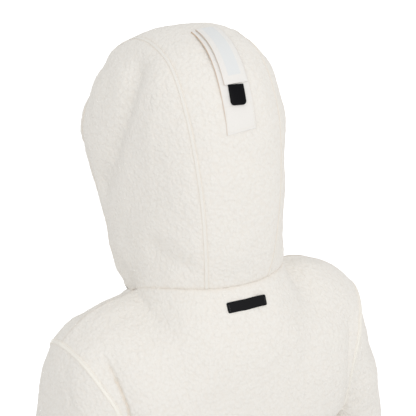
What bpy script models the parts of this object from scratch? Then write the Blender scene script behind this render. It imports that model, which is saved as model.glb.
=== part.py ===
"""Zip-up fleece hoodie, worn with the hood up, hollow, with nobody inside it.

Metres, +Z up. The garment faces -Y and the wearer's left is +X. The origin is the middle
of the neck opening at the height of the nape seam. The tables give millimetres and degrees.
Each panel is a wall of even thickness over a lofted surface, and neighbouring panels share
their seam line, parted by a narrow gap.
"""
import math

import bmesh
import bpy
import numpy as np
from mathutils import Matrix, Vector

MM = 0.001

# Cloth
CLOTH = 4.0 * MM
SEAM_GAP = 0.3 * MM
LAY_GAP = 0.3 * MM
TRIM = 1.6 * MM

# Counts of columns and rows
BACK_NECK_COLUMNS = 8
CENTRE_COLUMNS = 3
FRONT_NECK_COLUMNS = 6
SHOULDER_COLUMNS = 7
HOOD_ROWS = 17
LOWER_ROWS = 10
ARMHOLE_ROWS = 11
SLEEVE_ROWS = 18

# Neck seam, a tilted ring
NECK_HALF_WIDTH = 101.0
NAPE_Y = 95.0
NECK_FRONT_Y = -104.0
NECK_FRONT_Z = -86.0
NECK_DROP_POWER = 1.9
NAPE_SEAM_ANGLE = 27.0
FRONT_EDGE_X = 5.0

# Body, from the hem up to the underarm
BODY_COLUMNS = ("back_y", "back_z", "front_y", "front_z", "side_x", "side_y", "side_z")
BODY_SECTIONS = (
    (135.0, -655.0, -150.0, -650.0, 203.0, -5.0, -650.0),
    (134.0, -560.0, -153.0, -560.0, 201.0, -5.0, -558.0),
    (124.0, -450.0, -150.0, -450.0, 187.0, -6.0, -450.0),
    (124.0, -350.0, -151.0, -352.0, 172.0, -6.0, -358.0),
    (127.0, -265.0, -149.0, -272.0, 165.0, -6.0, -288.0),
)
BODY_WRAP = 90.0

# Body, from the underarm up to the shoulder blades: middles and armhole edges
ARMHOLE_COLUMNS = (
    "back_y", "back_z", "back_x_edge", "back_y_edge", "back_z_edge",
    "front_y", "front_z", "front_x_edge", "front_y_edge", "front_z_edge", "wrap",
)
ARMHOLE_SECTIONS = (
    (127.0, -205.0, 171.0, 76.0, -222.0, -144.0, -222.0, 170.0, -90.0, -226.0, 76.0),
    (126.0, -142.0, 177.0, 93.0, -156.0, -133.0, -172.0, 177.0, -99.0, -162.0, 66.0),
)
SHOULDER_TIP = (212.0, -14.0, -83.0)
SHOULDER_BOW = 17.0
NECK_SHARE = 0.46

# Body, from the shoulder blades up to the top row: how far the cloth rounds out of a straight
# run between the two, at the middle, below the neck's corner and at the armhole
YOKE_STEPS = (1.0 / 3.0, 2.0 / 3.0)
YOKE_COLUMNS = ("half", "middle_y", "corner_x", "corner_y", "corner_z", "edge_x", "edge_y", "edge_z")
YOKE_ROUNDING = (
    ("back", 11.0, 3.0, 23.0, 17.0, 8.0, 17.0, 24.0),
    ("front", -3.0, 2.0, -17.0, 13.0, 5.0, -12.0, 11.0),
)
YOKE_EASING = 9

# Sleeve rings below the armhole: the underarm side, the outer side, middle and half depth
SLEEVE_COLUMNS = ("inner_x", "inner_z", "outer_x", "outer_z", "mid_y", "half_depth")
SLEEVE_SECTIONS = (
    (171.0, -294.0, 225.0, -124.0, -4.0, 86.0),
    (174.0, -301.0, 233.0, -196.0, -8.0, 82.0),
    (178.0, -313.0, 245.0, -274.0, -11.0, 78.0),
    (184.0, -362.0, 261.0, -350.0, -16.0, 72.0),
    (200.0, -432.0, 284.0, -430.0, -28.0, 66.0),
    (214.0, -505.0, 296.0, -510.0, -46.0, 60.0),
    (224.0, -572.0, 298.0, -582.0, -66.0, 54.0),
    (228.0, -612.0, 297.0, -624.0, -76.0, 50.0),
)

# Hood arcs from the neck seam to the front edge: the middle line, the arc's half width,
# where the arc ends beside the face, and the angle where the centre panel's seam lies
HOOD_COLUMNS = ("mid_y", "mid_z", "half_width", "end_x", "end_y", "end_z", "seam_angle")
HOOD_SECTIONS = (
    (106.0, 55.0, 101.0, 83.0, -112.0, -30.0, 30.0),
    (111.0, 120.0, 107.0, 93.0, -126.0, 20.0, 31.0),
    (106.0, 182.0, 112.0, 101.0, -137.0, 60.0, 32.0),
    (88.0, 246.0, 115.0, 106.0, -146.0, 92.0, 33.0),
    (40.0, 301.0, 116.0, 109.0, -153.0, 115.0, 32.0),
    (-32.0, 315.0, 113.5, 110.0, -158.0, 128.0, 31.0),
    (-105.0, 299.0, 111.5, 110.0, -163.0, 138.0, 30.0),
    (-166.0, 264.0, 109.5, 109.3, -167.0, 147.0, 29.0),
)
HOOD_FULLNESS = 0.045

# Largest folds. Each runs between two places of a named surface, given as how far across
# and how far along it lies, from 0 to 1, and raises or sinks the cloth there.
FOLD_COLUMNS = ("surface", "side", "across_1", "along_1", "across_2", "along_2", "width", "height")
FOLDS = (
    ("hood", 1, 0.40, 0.68, 0.84, 0.41, 19.0, -9.0),
    ("hood", -1, 0.42, 0.66, 0.84, 0.42, 19.0, -7.0),
    ("hood", 1, 0.62, 0.80, 0.86, 0.62, 20.0, 2.0),
    ("hood", -1, 0.62, 0.80, 0.86, 0.62, 20.0, 2.0),
    ("hood", 1, 0.50, 0.17, 0.34, 0.10, 18.0, -4.0),
    ("hood", -1, 0.48, 0.16, 0.36, 0.11, 18.0, -3.0),
    ("back", 1, 0.90, 0.82, 0.905, 0.60, 17.0, -7.0),
    ("back", -1, 0.90, 0.80, 0.90, 0.60, 17.0, -6.0),
    ("front", 1, 0.88, 0.76, 0.90, 0.56, 17.0, -6.0),
    ("front", -1, 0.89, 0.78, 0.88, 0.55, 17.0, -6.0),
    ("back", -1, 0.72, 0.96, 0.88, 0.97, 45.0, 11.0),
    ("sleeve", -1, 0.46, 0.12, 0.42, 0.34, 42.0, 7.0),
    ("back", 1, 0.35, 0.28, 0.85, 0.21, 18.0, -6.0),
    ("back", -1, 0.20, 0.22, 0.80, 0.27, 18.0, -5.0),
    ("front", 1, 0.25, 0.24, 0.80, 0.20, 18.0, -5.0),
    ("front", -1, 0.30, 0.19, 0.85, 0.25, 18.0, -6.0),
    ("sleeve", 1, 0.16, 0.56, 0.40, 0.52, 17.0, -7.0),
    ("sleeve", 1, 0.62, 0.60, 0.90, 0.56, 16.0, -6.0),
    ("sleeve", -1, 0.14, 0.53, 0.42, 0.57, 17.0, -7.0),
    ("sleeve", -1, 0.60, 0.56, 0.88, 0.60, 16.0, -6.0),
    ("sleeve", 1, 0.20, 0.84, 0.80, 0.88, 14.0, -4.0),
    ("sleeve", -1, 0.22, 0.88, 0.78, 0.84, 14.0, -4.0),
)
FOLD_STEPS = 13

# A direction that no seam runs square to, which picks the diagonal of its end faces
RIM_SIDE = (0.31, 0.57, 0.76)

# Hood strap: places along the hood's middle line, from 0 at the nape to 1 at the front edge
STRAP_TOP = 0.722
STRAP_END = 0.434
TAPE_END = 0.554
TAB_END = 0.506
STRAP_HALF_COLUMN = 0.94
TAPE_HALF_COLUMN = 0.74
TAB_HALF_COLUMN = 0.47
TAB_THICKNESS = 2.4 * MM

# Blank label below the nape
LABEL_HALF_WIDTH = 30.0
LABEL_TOP_Z = -14.0
LABEL_BOTTOM_Z = -28.0
LABEL_THICKNESS = 1.8 * MM
LABEL_CLEARANCE = 0.6 * MM

# Zip
TAPE_INNER_X = 0.15 * MM
BEAD_X = 3.2 * MM
TAPE_OUTER_X = 15.0 * MM
TAPE_THICKNESS = 1.2 * MM
BEAD_HEIGHT = 2.2 * MM
SLIDER_ROW = 0.9
SLIDER_WIDTH = 9.6 * MM
SLIDER_LENGTH = 11.5 * MM
SLIDER_HEIGHT = 4.6 * MM
CHANNEL_WIDTH = 7.4 * MM
CHANNEL_HEIGHT = 3.0 * MM
BRIDGE_WIDTH = 2.2 * MM
BRIDGE_LENGTH = 7.4 * MM
BRIDGE_HEIGHT = 3.1 * MM
SLOT_LENGTH = 3.4 * MM
SLOT_HEIGHT = 2.2 * MM
PULL_AXIS_HEIGHT = 1.15 * MM
PULL_LENGTH = 26.0 * MM
PULL_WIDTH = 6.6 * MM
PULL_THICKNESS = 1.3 * MM
PULL_WINDOW_WIDTH = 3.2 * MM
PULL_WINDOW_LENGTH = 4.8 * MM
BOX_LENGTH = 9.0 * MM
BOX_ROW = 0.012

CREAM = (0.80, 0.785, 0.745)
TWILL = (0.79, 0.77, 0.72)
COOL_WHITE = (0.74, 0.77, 0.79)
BLACK = (0.012, 0.011, 0.014)
METAL = (0.55, 0.54, 0.52)


def clear_scene():
    """Empty the file of objects."""
    for item in list(bpy.data.objects):
        bpy.data.objects.remove(item, do_unlink=True)


def new_collection(name):
    """Add a collection to the scene."""
    collection = bpy.data.collections.new(name)
    bpy.context.scene.collection.children.link(collection)
    return collection


def principled(name, colour, roughness, metallic=0.0):
    """Make a plain Principled material."""
    material = bpy.data.materials.new(name)
    material.use_nodes = True
    shader = material.node_tree.nodes["Principled BSDF"]
    shader.inputs["Base Color"].default_value = (*colour, 1.0)
    shader.inputs["Roughness"].default_value = roughness
    shader.inputs["Metallic"].default_value = metallic
    return material


def rows_as_columns(names, rows):
    """Turn a table of rows into one array for each named column."""
    return {name: np.array([row[i] for row in rows]) for i, name in enumerate(names)}


def smooth_through(places, values, wanted):
    """Run a smooth curve through values given at rising places and read it at wanted places."""
    places = np.asarray(places, dtype=float)
    values = np.asarray(values, dtype=float)
    gaps = np.diff(places).reshape((-1,) + (1,) * (values.ndim - 1))
    slopes = np.diff(values, axis=0) / gaps
    tangents = np.empty_like(values)
    tangents[1:-1] = (slopes[:-1] * gaps[1:] + slopes[1:] * gaps[:-1]) / (gaps[1:] + gaps[:-1])
    tangents[0] = 1.5 * slopes[0] - 0.5 * tangents[1]
    tangents[-1] = 1.5 * slopes[-1] - 0.5 * tangents[-2]
    wanted = np.clip(np.asarray(wanted, dtype=float), places[0], places[-1])
    span = np.clip(np.searchsorted(places, wanted, side="right") - 1, 0, len(places) - 2)
    shape = (-1,) + (1,) * (values.ndim - 1)
    length = (places[span + 1] - places[span]).reshape(shape)
    t = ((wanted - places[span])).reshape(shape) / length
    start = (2 * t ** 3 - 3 * t ** 2 + 1) * values[span]
    leave = (t ** 3 - 2 * t ** 2 + t) * length * tangents[span]
    end = (3 * t ** 2 - 2 * t ** 3) * values[span + 1]
    arrive = (t ** 3 - t ** 2) * length * tangents[span + 1]
    return start + leave + end + arrive


def neck_point(angle):
    """Give the neck seam's points, the angle running from the nape round to the front."""
    centre_y = 0.5 * (NAPE_Y + NECK_FRONT_Y)
    half_y = 0.5 * (NAPE_Y - NECK_FRONT_Y)
    x = NECK_HALF_WIDTH * np.sin(angle)
    y = centre_y + half_y * np.cos(angle)
    z = NECK_FRONT_Z * (0.5 * (1.0 - np.cos(angle))) ** NECK_DROP_POWER
    return np.stack([x, y, z], axis=-1)


def neck_angles():
    """Give the angles of the neck seam's columns, in radians, from nape to front edge."""
    last = math.pi - math.asin(FRONT_EDGE_X / NECK_HALF_WIDTH)
    seam = math.radians(NAPE_SEAM_ANGLE)
    side_columns = BACK_NECK_COLUMNS + FRONT_NECK_COLUMNS - CENTRE_COLUMNS
    centre = np.linspace(0.0, seam, CENTRE_COLUMNS + 1)
    side = np.linspace(seam, last, side_columns + 1)
    return np.concatenate([centre, side[1:]])


def section_curve(across, middle, edge, wrap):
    """Bend a curve from a panel's middle out to its edge, wrapping by an angle in degrees."""
    turn = math.radians(wrap)
    angle = across * turn
    depth = (np.cos(angle) - math.cos(turn)) / (1.0 - math.cos(turn))
    full = 1.0 + 0.06 * np.sin(2.0 * angle) ** 2 * np.sin(0.5 * math.pi * (1.0 - across)) ** 0.5
    x = edge[0] * np.sin(angle) / math.sin(turn) * full
    y = edge[1] + (middle[1] - edge[1]) * depth * full
    z = edge[2] + (middle[2] - edge[2]) * depth
    return np.stack([x, y, z], axis=-1)


def shoulder_line(steps):
    """Give the shoulder seam's points from the neck out to the tip."""
    start = neck_point(neck_angles()[BACK_NECK_COLUMNS])
    end = np.array(SHOULDER_TIP)
    part = np.asarray(steps)[:, None]
    rise = np.array([0.0, 0.0, SHOULDER_BOW]) * np.sin(math.pi * part)
    return start + (end - start) * part + rise


def panel_columns(half, height):
    """Give how far across each column of a half panel lies, from 0 to 1.

    The height runs from 0 at the underarm to 1 at the shoulder, where the columns below the
    neck's corner draw together.
    """
    neck_columns = BACK_NECK_COLUMNS if half == "back" else FRONT_NECK_COLUMNS
    even = neck_columns / (neck_columns + SHOULDER_COLUMNS)
    share = even + (NECK_SHARE - even) * height ** 2
    neck = np.linspace(0.0, share, neck_columns + 1)
    shoulder = np.linspace(share, 1.0, SHOULDER_COLUMNS + 1)
    return np.concatenate([neck, shoulder[1:]])


def top_row(half):
    """Give the last row of a half panel, along the neck seam and then the shoulder seam."""
    angles = neck_angles()
    if half == "back":
        neck = neck_point(angles[:BACK_NECK_COLUMNS + 1])
    else:
        neck = neck_point(angles[BACK_NECK_COLUMNS:][::-1])
    shoulder = shoulder_line(np.linspace(0.0, 1.0, SHOULDER_COLUMNS + 1))
    return np.concatenate([neck, shoulder[1:]])


def eased(curve, times):
    """Ease a curve's corners, its two ends kept."""
    curve = curve.copy()
    for _ in range(times):
        curve[1:-1] = 0.25 * curve[:-2] + 0.5 * curve[1:-1] + 0.25 * curve[2:]
    return curve


def yoke_rounding(half):
    """Give how far each column rounds out between the shoulder blades and the top row."""
    row = next(dict(zip(YOKE_COLUMNS, row)) for row in YOKE_ROUNDING if row[0] == half)
    neck_columns = BACK_NECK_COLUMNS if half == "back" else FRONT_NECK_COLUMNS
    places = (0, neck_columns, neck_columns + SHOULDER_COLUMNS)
    middle = (0.0, row["middle_y"], 0.0)
    corner = (row["corner_x"], row["corner_y"], row["corner_z"])
    edge = (row["edge_x"], row["edge_y"], row["edge_z"])
    return smooth_through(places, (middle, corner, edge), np.arange(places[-1] + 1))


def body_half(half):
    """Loft one half of the back or the front, from the hem up to its top row."""
    body = rows_as_columns(BODY_COLUMNS, BODY_SECTIONS)
    arm = rows_as_columns(ARMHOLE_COLUMNS, ARMHOLE_SECTIONS)
    curves = []
    for i in range(len(BODY_SECTIONS)):
        middle = (0.0, body[half + "_y"][i], body[half + "_z"][i])
        edge = (body["side_x"][i], body["side_y"][i], body["side_z"][i])
        curves.append(section_curve(panel_columns(half, 0.0), middle, edge, BODY_WRAP))
    for i in range(len(ARMHOLE_SECTIONS)):
        middle = (0.0, arm[half + "_y"][i], arm[half + "_z"][i])
        edge = [arm[half + "_" + axis + "_edge"][i] for axis in "xyz"]
        across = panel_columns(half, (i + 1.0) / len(ARMHOLE_SECTIONS))
        curves.append(section_curve(across, middle, edge, arm["wrap"][i]))
    top = top_row(half)
    blade = curves[-1]
    rounding = yoke_rounding(half)
    for step in YOKE_STEPS:
        curve = blade + (top - blade) * step + rounding * 4.0 * step * (1.0 - step)
        curves.append(eased(curve, round(YOKE_EASING * (1.0 - step))))
    curves.append(top)
    if half == "front":
        for curve in curves[:-1]:
            curve[:, 0] = FRONT_EDGE_X + curve[:, 0] * (1.0 - FRONT_EDGE_X / curve[-1, 0])
    lower = len(BODY_SECTIONS) - 1
    upper = len(ARMHOLE_SECTIONS) + len(YOKE_STEPS) + 1
    places = np.concatenate([np.arange(lower), lower + np.arange(upper + 1)])
    wanted = np.concatenate([
        np.linspace(0.0, lower, LOWER_ROWS + 1),
        lower + np.linspace(0.0, upper, ARMHOLE_ROWS + 1)[1:],
    ])
    return smooth_through(places, np.array(curves), wanted)


def hood_half():
    """Loft one half of the hood from the neck seam to its front edge."""
    table = rows_as_columns(HOOD_COLUMNS, HOOD_SECTIONS)
    fractions = np.linspace(0.0, 1.0, CENTRE_COLUMNS + 1)
    side_columns = BACK_NECK_COLUMNS + FRONT_NECK_COLUMNS - CENTRE_COLUMNS
    curves = [neck_point(neck_angles())]
    for i in range(len(HOOD_SECTIONS)):
        seam = math.radians(table["seam_angle"][i])
        end = math.pi - math.asin(table["end_x"][i] / table["half_width"][i])
        side = np.linspace(seam, end, side_columns + 1)
        angle = np.concatenate([fractions * seam, side[1:]])
        turned = (1.0 - np.cos(angle)) / (1.0 - math.cos(end))
        full = 1.0 + HOOD_FULLNESS * np.sin(2.0 * np.minimum(angle, 0.5 * math.pi)) ** 2
        x = table["half_width"][i] * np.sin(angle) * full
        y = table["end_y"][i] + (table["mid_y"][i] - table["end_y"][i]) * (1.0 - turned) * full
        z = table["end_z"][i] + (table["mid_z"][i] - table["end_z"][i]) * (1.0 - turned) * full
        curves.append(np.stack([x, y, z], axis=-1))
    places = np.arange(len(curves))
    wanted = np.linspace(0.0, len(curves) - 1.0, HOOD_ROWS + 1)
    return smooth_through(places, np.array(curves), wanted)


def sleeve_tube(back, front):
    """Loft a sleeve from the armhole, made of the two panels' edges, down to the cuff."""
    table = rows_as_columns(SLEEVE_COLUMNS, SLEEVE_SECTIONS)
    up = back[LOWER_ROWS:, -1]
    down = front[LOWER_ROWS:, -1][::-1]
    armhole = np.concatenate([up, down[1:-1]])
    angle = np.linspace(0.0, 2.0 * math.pi, len(armhole), endpoint=False)
    curves = [armhole]
    for i in range(len(SLEEVE_SECTIONS)):
        inner = np.array([table["inner_x"][i], table["mid_y"][i], table["inner_z"][i]])
        outer = np.array([table["outer_x"][i], table["mid_y"][i], table["outer_z"][i]])
        depth = np.array([0.0, table["half_depth"][i], 0.0])
        middle = 0.5 * (inner + outer)
        reach = 0.5 * (outer - inner)
        ring = middle - np.cos(angle)[:, None] * reach + np.sin(angle)[:, None] * depth
        curves.append(ring)
    places = np.arange(len(curves))
    wanted = np.linspace(0.0, len(curves) - 1.0, SLEEVE_ROWS + 1)
    return smooth_through(places, np.array(curves), wanted)


def mirrored(grid):
    """Mirror a grid to the wearer's right."""
    return grid * np.array([-1.0, 1.0, 1.0])


def both_halves(grid):
    """Join a half grid and its mirror image across the middle line, right side first."""
    return np.concatenate([mirrored(grid)[:, ::-1], grid[:, 1:]], axis=1)


def lofted_grids():
    """Work out every cloth panel's outer points, in metres, as grids of rows and columns."""
    back = body_half("back")
    front = body_half("front")
    side_seam = (back[:LOWER_ROWS + 1, -1] + front[:LOWER_ROWS + 1, -1]) / 2.0
    back[:LOWER_ROWS + 1, -1] = side_seam
    front[:LOWER_ROWS + 1, -1] = side_seam
    hood = hood_half()
    sleeve = sleeve_tube(back, front)
    halves = {"back": back, "front": front, "hood": hood, "sleeve": sleeve}
    centre = hood[:, :CENTRE_COLUMNS + 1]
    side = hood[:, CENTRE_COLUMNS:]
    grids = {
        "back": both_halves(back),
        "front_left": front,
        "front_right": mirrored(front)[:, ::-1],
        "sleeve_left": sleeve,
        "sleeve_right": mirrored(sleeve)[:, ::-1],
        "hood_side_left": side,
        "hood_centre": both_halves(centre),
        "hood_side_right": mirrored(side)[:, ::-1],
    }
    # The back's columns run to +X and face +Y, so their order is turned to face outward
    flips = ("back", "hood_centre", "hood_side_left", "hood_side_right")
    for name in flips:
        grids[name] = grids[name][:, ::-1]
    return {name: grid * MM for name, grid in grids.items()}, halves


def is_tube(name):
    """Tell whether a panel's columns close on themselves."""
    return name.startswith("sleeve")


def surface_of(name):
    """Name the surface a panel belongs to: the body, a sleeve or the hood."""
    first = name.split("_")[0]
    return "body" if first in ("back", "front") else first


def welded_normals(grids):
    """Give each grid point a normal, halfway between the surfaces' own where surfaces meet."""
    own = {}
    keys = {}
    for name, grid in grids.items():
        points = np.round(grid / (0.01 * MM)).astype(int)
        keys[name] = [[tuple(point) for point in row] for row in points]
        ring = np.concatenate([grid, grid[:, :1]], axis=1) if is_tube(name) else grid
        cross = np.cross(ring[1:, 1:] - ring[:-1, :-1], ring[1:, :-1] - ring[:-1, 1:])
        columns = grid.shape[1]
        sums = own.setdefault(surface_of(name), {})
        for i in range(cross.shape[0]):
            for j in range(cross.shape[1]):
                for a, b in ((0, 0), (1, 0), (0, 1), (1, 1)):
                    key = keys[name][i + a][(j + b) % columns]
                    sums[key] = sums.get(key, 0.0) + cross[i, j]
    total = {}
    for sums in own.values():
        for key, normal in sums.items():
            total[key] = total.get(key, 0.0) + normal / np.linalg.norm(normal)
    normals = {}
    for name in grids:
        found = np.array([[total[key] for key in row] for row in keys[name]])
        normals[name] = found / np.linalg.norm(found, axis=2, keepdims=True)
    return normals


def fold_line(halves, fold):
    """Give the points along one fold, read between its two ends on the named surface."""
    grid = halves[fold["surface"]] * MM
    steps = np.linspace(0.0, 1.0, FOLD_STEPS)
    along = (fold["along_1"] + (fold["along_2"] - fold["along_1"]) * steps) * (grid.shape[0] - 1)
    across = (fold["across_1"] + (fold["across_2"] - fold["across_1"]) * steps) * (grid.shape[1] - 1)
    points = np.array([grid_point(grid, i, j) for i, j in zip(along, across)])
    return points * np.array([fold["side"], 1.0, 1.0])


def grid_point(grid, row, column):
    """Read a grid between its points."""
    i = min(int(row), grid.shape[0] - 2)
    j = min(int(column), grid.shape[1] - 2)
    u = row - i
    v = column - j
    near = grid[i, j] * (1.0 - v) + grid[i, j + 1] * v
    far = grid[i + 1, j] * (1.0 - v) + grid[i + 1, j + 1] * v
    return near * (1.0 - u) + far * u


def fold_heights(points, halves):
    """Sum how far each point is raised or sunk by the folds near it."""
    total = np.zeros(points.shape[:-1])
    for row in FOLDS:
        fold = dict(zip(FOLD_COLUMNS, row))
        line = fold_line(halves, fold)
        away = np.linalg.norm(points[..., None, :] - line, axis=-1).min(axis=-1)
        total += fold["height"] * MM * np.exp(-(away / (fold["width"] * MM)) ** 2)
    return total


def folded_grids():
    """Give the panels' outer points with their folds, and the normals they share."""
    grids, halves = lofted_grids()
    normals = welded_normals(grids)
    folded = {}
    for name, grid in grids.items():
        folded[name] = grid + normals[name] * fold_heights(grid, halves)[..., None]
    return folded, welded_normals(folded)


def seam_edges(grids):
    """Mark, on each of a panel's four edges, the points that another panel shares."""
    owners = {}
    for name, grid in grids.items():
        for point in np.round(grid.reshape(-1, 3) / (0.01 * MM)).astype(int):
            owners.setdefault(tuple(point), set()).add(name)
    shared = {}
    for name, grid in grids.items():
        points = np.round(grid / (0.01 * MM)).astype(int)
        shared[name] = np.array([[len(owners[tuple(point)]) > 1 for point in row] for row in points])
    return shared


def seam_shift(name, grid, normals, shared):
    """Move a panel's seam edges in by half the seam gap, square to the wall's end face."""
    shift = np.zeros_like(grid)
    sides = [(0, 1, "row"), (-1, -2, "row")]
    if not is_tube(name):
        sides += [(0, 1, "column"), (-1, -2, "column")]
    for edge, inside, kind in sides:
        line = grid[edge] if kind == "row" else grid[:, edge]
        inner = grid[inside] if kind == "row" else grid[:, inside]
        normal = normals[edge] if kind == "row" else normals[:, edge]
        flag = shared[edge] if kind == "row" else shared[:, edge]
        if is_tube(name):
            tangent = np.roll(line, -1, axis=0) - np.roll(line, 1, axis=0)
        else:
            tangent = np.gradient(line, axis=0)
        square = np.cross(tangent, normal)
        square /= np.linalg.norm(square, axis=1, keepdims=True)
        toward = np.sign(np.sum(square * (inner - line), axis=1, keepdims=True))
        move = square * toward * 0.5 * SEAM_GAP
        for k in range(len(line)):
            on_seam = flag[k] and (flag[max(k - 1, 0)] or flag[min(k + 1, len(line) - 1)])
            if on_seam and kind == "row":
                shift[edge, k] += move[k]
            elif on_seam:
                shift[k, edge] += move[k]
    return shift


def split_quad(points, quad):
    """Split a quad along its shorter diagonal."""
    a, b, c, d = quad
    if np.linalg.norm(points[a] - points[c]) <= np.linalg.norm(points[b] - points[d]):
        return (a, b, c), (a, c, d)
    return (a, b, d), (b, c, d)


def split_rim(points, inner_1, inner_2, outer_2, outer_1):
    """Split a rim quad from the outer point on one fixed side, alike for both panels of a seam."""
    if np.dot(points[outer_2] - points[outer_1], RIM_SIDE) > 0.0:
        return (inner_1, inner_2, outer_1), (inner_2, outer_2, outer_1)
    return (inner_1, inner_2, outer_2), (inner_1, outer_2, outer_1)


def wall_mesh(name, outer, inner, tube=False):
    """Close an outer and an inner grid into one wall with a rim."""
    rows, columns = outer.shape[:2]
    points = np.concatenate([outer.reshape(-1, 3), inner.reshape(-1, 3)])
    below = rows * columns
    last = columns if tube else columns - 1
    faces = []
    for i in range(rows - 1):
        for j in range(last):
            k = (j + 1) % columns
            quad = (i * columns + j, i * columns + k, (i + 1) * columns + k, (i + 1) * columns + j)
            for face in split_quad(points, quad):
                faces.append(face)
                faces.append(tuple(point + below for point in face[::-1]))
    for j in range(last):
        k = (j + 1) % columns
        top = (rows - 1) * columns
        faces.extend(split_rim(points, j + below, k + below, k, j))
        faces.extend(split_rim(points, top + k + below, top + j + below, top + j, top + k))
    if not tube:
        for i in range(rows - 1):
            a, b = i * columns, (i + 1) * columns
            faces.extend(split_rim(points, b + below, a + below, a, b))
            a, b = a + columns - 1, b + columns - 1
            faces.extend(split_rim(points, a + below, b + below, b, a))
    mesh = bpy.data.meshes.new(name)
    mesh.from_pydata([tuple(point) for point in points], [], faces)
    mesh.validate()
    solid = bmesh.new()
    solid.from_mesh(mesh)
    bmesh.ops.recalc_face_normals(solid, faces=solid.faces)
    solid.to_mesh(mesh)
    solid.free()
    mesh.shade_smooth()
    mesh.set_sharp_from_angle(angle=math.radians(50.0))
    return mesh


def add_object(name, mesh, material, collection):
    """Put a mesh into the collection with its material."""
    mesh.materials.append(material)
    item = bpy.data.objects.new(name, mesh)
    collection.objects.link(item)
    return item


def add_cloth(grids, normals, collection):
    """Build every cloth panel."""
    shared = seam_edges(grids)
    for name, grid in grids.items():
        shift = seam_shift(name, grid, normals[name], shared[name])
        outer = grid + shift
        inner = outer - normals[name] * CLOTH
        mesh = wall_mesh(name, outer, inner, is_tube(name))
        add_object(name, mesh, principled(name, CREAM, 0.95), collection)


def lay_on(name, grid, normals, rows, columns, lift, thickness, material, collection):
    """Build a flat piece that lies on a panel, from the panel's own points moved out."""
    base = np.array([[grid_point(grid, i, j) for j in columns] for i in rows])
    up = np.array([[grid_point(normals, i, j) for j in columns] for i in rows])
    up /= np.linalg.norm(up, axis=2, keepdims=True)
    mesh = wall_mesh(name, base + up * (lift + thickness), base + up * lift)
    return add_object(name, mesh, material, collection)


def rows_between(start, end, count):
    """Give the grid rows from one place to another, the whole rows between them included."""
    low, high = sorted((start * count, end * count))
    whole = [row for row in range(count + 1) if low + 0.2 < row < high - 0.2]
    return [low] + whole + [high]


def add_strap(grid, normals, collection):
    """Build the hood's strap, the tape over it and the tab at the tape's end."""
    rows = grid.shape[0] - 1
    middle = (grid.shape[1] - 1) / 2.0
    pieces = (
        ("strap_base", STRAP_END, STRAP_TOP, STRAP_HALF_COLUMN, 0, TRIM, TWILL, 0.8),
        ("strap_tape", TAPE_END, STRAP_TOP, TAPE_HALF_COLUMN, 1, TRIM, COOL_WHITE, 0.6),
        ("strap_tab", TAB_END, TAPE_END - 0.002, TAB_HALF_COLUMN, 1, TAB_THICKNESS, BLACK, 0.2),
    )
    for name, start, end, half, layer, thickness, colour, roughness in pieces:
        lift = LAY_GAP + layer * (TRIM + LAY_GAP)
        columns = (middle - half, middle, middle + half)
        material = principled(name, colour, roughness)
        wanted = rows_between(start, end, rows)
        lay_on(name, grid, normals, wanted, columns, lift, thickness, material, collection)


def add_label(grid, normals, collection):
    """Build the blank label below the nape."""
    middle = (grid.shape[1] - 1) // 2
    height = grid[:, middle, 2]
    wanted = np.linspace(LABEL_BOTTOM_Z, LABEL_TOP_Z, 3) * MM
    rows = np.interp(wanted, height, np.arange(len(height)))
    columns = []
    for x in np.linspace(LABEL_HALF_WIDTH, -LABEL_HALF_WIDTH, 7) * MM:
        line = np.array([grid_point(grid, rows[1], j)[0] for j in range(grid.shape[1] - 1)])
        columns.append(np.interp(-x, -line, np.arange(len(line))))
    material = principled("label", BLACK, 0.35)
    lay_on("back_label", grid, normals, rows, columns, LABEL_CLEARANCE, LABEL_THICKNESS,
           material, collection)


def zip_frame(front, row):
    """Give the zip's place, its direction down the front and its outward direction."""
    line = front[:, 0] * np.array([0.0, 1.0, 1.0])
    whole = row * (len(line) - 1)
    places = np.arange(len(line))
    here = np.array([np.interp(whole, places, line[:, axis]) for axis in range(3)])
    nearest = min(int(round(whole)), len(line) - 2)
    down = line[max(nearest - 1, 0)] - line[nearest + 1]
    down /= np.linalg.norm(down)
    out = np.cross(np.array([1.0, 0.0, 0.0]), down)
    if out[1] > 0.0:
        out = -out
    return here, down, out


def add_zip_tapes(front, normals, collection):
    """Build the two zip tapes behind the fronts' edges, each with its raised bead."""
    depth = CLOTH + LAY_GAP
    line = front[:, 0] * np.array([0.0, 1.0, 1.0])
    out = normals[:, 0] * np.array([0.0, 1.0, 1.0])
    out /= np.linalg.norm(out, axis=1, keepdims=True)
    profile = (
        (TAPE_INNER_X, -depth - TAPE_THICKNESS), (TAPE_OUTER_X, -depth - TAPE_THICKNESS),
        (TAPE_OUTER_X, -depth), (BEAD_X, -depth),
        (BEAD_X, -depth + BEAD_HEIGHT), (TAPE_INNER_X, -depth + BEAD_HEIGHT),
    )
    end = 1.0 - 0.6 * MM / np.linalg.norm(line[-1] - line[-2])
    line = line.copy()
    line[-1] = line[-2] + (line[-1] - line[-2]) * end
    slope = (front[:, 1] - front[:, 0]) / (front[:, 1, :1] - front[:, 0, :1])
    for side, name in ((1.0, "zip_tape_left"), (-1.0, "zip_tape_right")):
        rings = []
        for i in range(len(line)):
            drop = slope[i] * np.array([0.0, 1.0, 1.0])
            ring = []
            for x, height in profile:
                bend = drop * max(x - FRONT_EDGE_X * MM, 0.0)
                ring.append(line[i] + bend + out[i] * height + np.array([side * x, 0.0, 0.0]))
            rings.append(ring)
        mesh = loft_solid(name, np.array(rings))
        add_object(name, mesh, principled(name, TWILL, 0.85), collection)


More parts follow.
